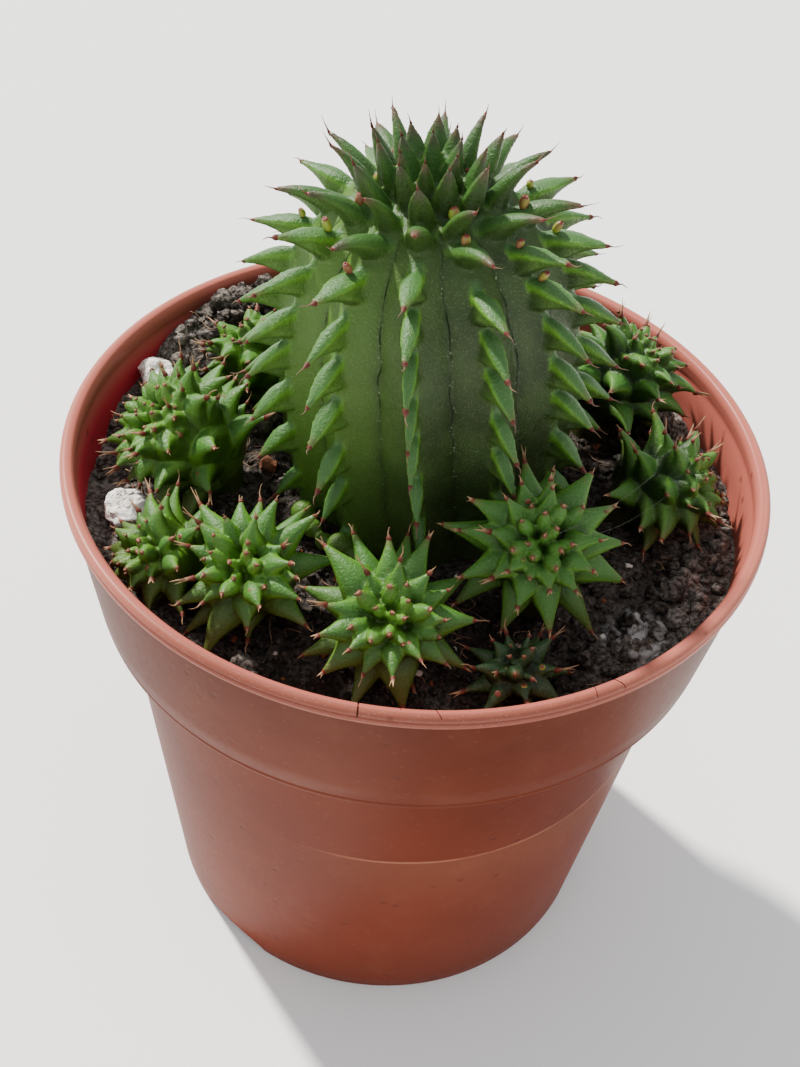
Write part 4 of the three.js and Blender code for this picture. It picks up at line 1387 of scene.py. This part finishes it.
def make_stem(shapes, material):
    rings = round_rings((STEM_HEIGHT * share, furrow_radius(max(0.0, share))) for share in STEM_SHARES)
    body = lofted(rings, 8 * RIBS, stem_section, [RIB_TURN + RIB_TWIST * share for share in STEM_SHARES])
    turn = leaned(STEM_AXIS)
    body.data.transform(Matrix.Translation(STEM_FOOT) @ turn)
    teeth = clear_teeth(stem_teeth(), [offset_room(offset) for offset in OFFSETS])
    keep_room(teeth)
    parts = [body]
    for x, y, z, radius in FOOT_KNOBS:
        bpy.ops.mesh.primitive_uv_sphere_add(segments=16, ring_count=10, radius=radius)
        knob = bpy.context.object
        knob.data.transform(Matrix.Translation((x, y, z)))
        parts.append(knob)
    stem = fleshed(parts, teeth, shapes, "main_stem_body", STEM_GRAIN, 3)
    local = (points_of(stem) - np.array(STEM_FOOT)) @ np.array(turn.to_3x3())
    share = local[:, 2] / STEM_HEIGHT
    ribs = np.arctan2(local[:, 1], local[:, 0]) - np.radians(RIB_TURN + RIB_TWIST * share)
    inside = np.array([furrow_radius(min(1.0, max(0.0, value))) for value in share])
    deep = eased(np.hypot(local[:, 0], local[:, 1]) - inside, 1.6, 0.8) * eased(share, 0.97, 0.94)
    store(stem, "across", np.sin(RIBS * ribs))
    store(stem, "furrow", deep * eased(-np.cos(RIBS * ribs), 0.2, 0.6))
    store(stem, "young", np.zeros(len(local)))
    finished(stem, "main_stem_skin", material, ("main_stem",))
    return teeth


def make_offset(offset, shapes, material):
    name = offset.name
    radius = offset.radius
    length = offset.length
    head = lofted(round_rings((height * length, radius * share) for height, share in HEAD_PROFILE), 24)
    head.data.transform(Matrix.Translation(offset.tip) @ leaned(offset.axis))
    thick = min(OFFSET_NECK_RADIUS, 0.62 * radius)
    neck_top = offset.low + offset.axis * 1.5
    leaning = (neck_top - offset.foot).normalized()
    bottom = offset.foot - leaning * OFFSET_NECK_DEPTH
    long = (neck_top - bottom).length
    neck = lofted(round_rings(((0, 0.8 * thick), (0.5 * long, 0.86 * thick), (long, thick))), 20)
    neck.data.transform(Matrix.Translation(bottom) @ leaned(leaning))
    others = [(STEM_FOOT, STEM_FOOT + STEM_AXIS * (STEM_HEIGHT - STEM_RADIUS), STEM_RADIUS + RIB_HEIGHT)]
    others += [offset_room(other) for other in OFFSETS if other is not offset]
    main = clear_teeth(offset_teeth(offset), others)
    teeth = main + gap_teeth(offset, main, others)
    keep_room(main)
    grain = HIDDEN_GRAIN if name in HIDDEN_OFFSETS else OFFSET_GRAIN
    body = fleshed([head, neck], teeth, shapes, name + "_body", grain, 2)
    places = points_of(body) - np.array(offset.tip)
    height = places @ np.array(offset.axis)
    middle = np.linalg.norm(places - np.outer(height, np.array(offset.axis)), axis=1)
    young = np.clip(1 - middle / (0.9 * radius), 0, 1) * np.clip(1 + height / (0.4 * length), 0, 1)
    # painted shade: offsets in shade get less of the young green
    store(body, "young", young * (0.35 if name in SHADED_OFFSETS else 0.9))
    store(body, "across", np.ones(len(places)))
    store(body, "furrow", np.zeros(len(places)))
    finished(body, name + "_skin", material, (name,))
    return teeth


# Dry tips, buds and threads

def model_dry_tips():
    """Three kinds of dried leaf remains, a millimetre long along +Z: a split blade, a hair and a curl."""
    blade = ((-0.14, 0, 0, 0.3, 0.26), (0.0, 0, 0, 0.37, 0.3), (0.1, 0, 0, 0.32, 0.22),
             (0.22, 0.02, 0, 0.25, 0.11), (0.42, 0.05, 0.01, 0.17, 0.07), (0.68, 0.1, 0.04, 0.09, 0.05),
             (1.0, 0.12, 0.14, 0.02, 0.02))
    strand = ((0.1, -0.08, 0, 0.14, 0.09), (0.34, -0.16, 0.02, 0.09, 0.06), (0.6, -0.28, 0.0, 0.05, 0.04),
              (0.84, -0.44, -0.08, 0.015, 0.015))
    hair = ((-0.12, 0, 0, 0.16, 0.16), (0.05, 0, 0, 0.17, 0.17), (0.22, 0.02, 0, 0.09, 0.09),
            (0.6, 0.06, 0.03, 0.05, 0.05), (1.0, 0.2, 0.06, 0.015, 0.015))
    curl = ((-0.16, 0, 0, 0.3, 0.28), (0.0, 0, 0, 0.4, 0.34), (0.13, 0, 0, 0.33, 0.26),
            (0.26, 0.02, 0, 0.13, 0.1), (0.45, -0.05, 0.03, 0.08, 0.06), (0.62, 0.08, 0.05, 0.07, 0.05),
            (0.8, 0.24, -0.03, 0.05, 0.04), (0.9, 0.45, -0.08, 0.02, 0.02))
    fork = joined([lofted(blade, 7), lofted(strand, 5)], "dry_fork")
    return [fork, lofted(hair, 6), lofted(curl, 7)]


def tip_is_clear(start, end):
    """Whether a dried tip stays off the pot's wall and the soil."""
    wall = inner_radius(min(end.z, POT_HEIGHT - 4)) - 1.5
    return end.xy.length < max(wall, start.xy.length) and end.z > soil_height(end.x, end.y) - 1.5


def stem_tip(tooth, number):
    """The kind and the length of the dried tip on a tooth of the stem."""
    if tooth["kind"] != "rib":
        return 1, 1.6 + 1.4 * draw(number + 8)
    return 2, 1.4 + 1.4 * draw(number + 8)


def offset_tip(tooth, number):
    """The kind and the length of the dried tip on a tooth of an offset."""
    if tooth["kind"] == "bud":
        return 2, 0.6
    return (0 if draw(number + 4) < 0.7 else 2), 0.9 + 2.5 * draw(number + 8) ** 2


def make_dry_tips(name, teeth, material, choose, shapes):
    """A dried tip on every tooth, which stays under the top of the plant's own box."""
    places = []
    for number, tooth in enumerate(teeth):
        which, length = choose(tooth, number)
        kind = tooth["kind"]
        side, back = tooth_frame(tooth)
        bent = TOOTH_RINGS[kind][-1][1] * DEPTHS[kind]
        end = tooth["root"] + tooth["out"] * tooth["length"] * (LENGTHS[kind] - 0.02)
        end += back * tooth["depth"] * bent
        spin = 6.28 * draw(number + 77)
        out = tooth["out"] + side * 0.25 * (draw(number + 31) - 0.5) + back * 0.3 * (draw(number + 59) - 0.4)
        out.normalize()
        room = TOP_LIMIT - end.z
        if out.z * length > room:
            length = max(0.5, room / out.z)
        while length > 0.5 and not tip_is_clear(end, end + out * length):
            length *= 0.8
        wide = TIP_WIDTHS[which] * (0.8 + 0.4 * draw(number + 91))
        turn = aimed(out) @ Matrix.Rotation(spin, 4, "Z")
        places.append((which, Matrix.Translation(end) @ turn @ Matrix.Diagonal((wide, wide, length, 1))))
    tones = [lengthwise(shape) for shape in shapes]
    finished(strewn(shapes, places, name, [tones[which] for which, matrix in places]), name, material)


def bud_matrix(tooth, along, raised, sway, leaning, size):
    """Places a bud on a tooth, turned to lean from its back towards its tip."""
    side, back = tooth_frame(tooth)
    place = tooth["root"] + tooth["out"] * along * tooth["length"] + back * (raised * tooth["depth"])
    place += side * 0.9 * sway
    turn = aimed((back * leaning[0] + tooth["out"] * leaning[1]).normalized())
    return Matrix.Translation(place) @ turn @ Matrix.Diagonal((*size, 1))


def make_buds(teeth, others):
    """Buds in the angle over the upper teeth of the main stem, and scars between the teeth of the offsets."""
    profile = ((-0.3, 0.7), (0.0, 0.95), (0.35, 1.0), (0.7, 0.85), (0.98, 0.52), (1.02, 0.34), (0.86, 0.2))
    shape = lofted(round_rings(profile), 12)
    places = []
    for number, tooth in enumerate(teeth):
        if 5 < tooth["distance"] < 21 and draw(number + 210) <= 0.55:
            size = 0.52 + 0.3 * draw(number + 5)
            sizes = (size, size * 0.85, size * (1.3 + 0.9 * draw(number + 6)))
            places.append((0, bud_matrix(tooth, 0.14, 0.85, draw(number + 11) - 0.5, (0.9, 0.6), sizes)))
    for number, tooth in enumerate(others):
        if tooth["kind"] == "cone" and draw(number + 410) <= 0.4:
            size = 0.32 + 0.2 * draw(number + 3)
            places.append((0, bud_matrix(tooth, 0.3, 0.52, 0.0, (1.0, 0.3), (size, size, size))))
    heights = lengthwise(shape)
    # the mouth in the bud's end is all of one tone
    heights[-1 - len(heights) // 7:] = 1
    finished(strewn([shape], places, "buds", [heights] * len(places)), "axil_buds", bud_material())
    remove(shape)


def make_threads():
    """A few cobweb threads between the front right offset and the ones at the right."""
    parts = []
    for start, end, sag in STRANDS:
        start = Vector(start)
        line = Vector(end) - start
        rings = []
        for step in range(13):
            share = step / 12
            rings.append((share * line.length, sag * 4 * share * (share - 1), 0, 0.012, 0.012))
        strand = lofted(rings, 4)
        strand.data.transform(Matrix.Translation(start) @ aimed(line, "X"))
        parts.append(strand)
    threads = joined(parts, "cobweb")
    material = plain_detail_material("cobweb", colour(150, 150, 140), colour(100, 100, 92), 0.4)
    finished(threads, "cobweb_threads", material)


make_camera()
make_studio()
stem_skin = plant_skin("stem skin", colour(58, 78, 38), colour(42, 58, 27), colour(64, 104, 52),
                       colour(96, 146, 44), colour(84, 122, 42), colour(18, 30, 12), 0.0, 0.0)
offset_skin = plant_skin("offset skin", colour(48, 84, 30), colour(34, 64, 20), colour(64, 108, 44),
                         colour(92, 142, 42), colour(96, 144, 34), colour(6, 14, 4), 0.7, 0.65)
# painted shade: a darker copy of the offset skin for the small offset that lies in shade
shaded_skin = plant_skin("shaded offset skin", colour(18, 34, 15), colour(10, 20, 9), colour(40, 66, 38),
                         colour(62, 94, 48), colour(28, 52, 24), colour(4, 8, 4), 0.8, 0.15)
perlite = stone_material()
make_pot()
soil_bed = make_soil()
soil_surface = BVHTree.FromObject(soil_bed, bpy.context.evaluated_depsgraph_get())
crumbly = soil_material("peat crumbs", True)
make_crumbs(soil_surface, crumbly)
make_clods(soil_surface, crumbly)
finished(soil_bed, "soil_bed", soil_material("peat", False), ("soil",), smooth=60)
make_fibres(soil_surface)
make_stone("perlite_left", "stone_left", (-41.4, -12.4, 84.6), 3.6, 0.72, 20, perlite)
make_stone("perlite_left_back", "stone_left_back", (-43.0, 16.4, 87.2), 3.4, 0.8, 70, perlite)
tooth_shapes = model_teeth()
main_teeth = make_stem(tooth_shapes, stem_skin)
side_teeth = []
for offset in OFFSETS:
    skin = shaded_skin if offset.name == "offset_front_small" else offset_skin
    side_teeth += make_offset(offset, tooth_shapes, skin)
remove(*tooth_shapes.values())
tip_shapes = model_dry_tips()
pale_dry = dry_material("dry tips", colour(96, 34, 24), colour(168, 132, 100))
dark_dry = dry_material("dark dry tips", colour(90, 32, 24), colour(120, 96, 78))
make_dry_tips("stem_dry_tips", main_teeth, dark_dry, stem_tip, tip_shapes)
make_dry_tips("offset_dry_tips", side_teeth, pale_dry, offset_tip, tip_shapes)
remove(*tip_shapes)
make_buds(main_teeth, side_teeth)
make_threads()
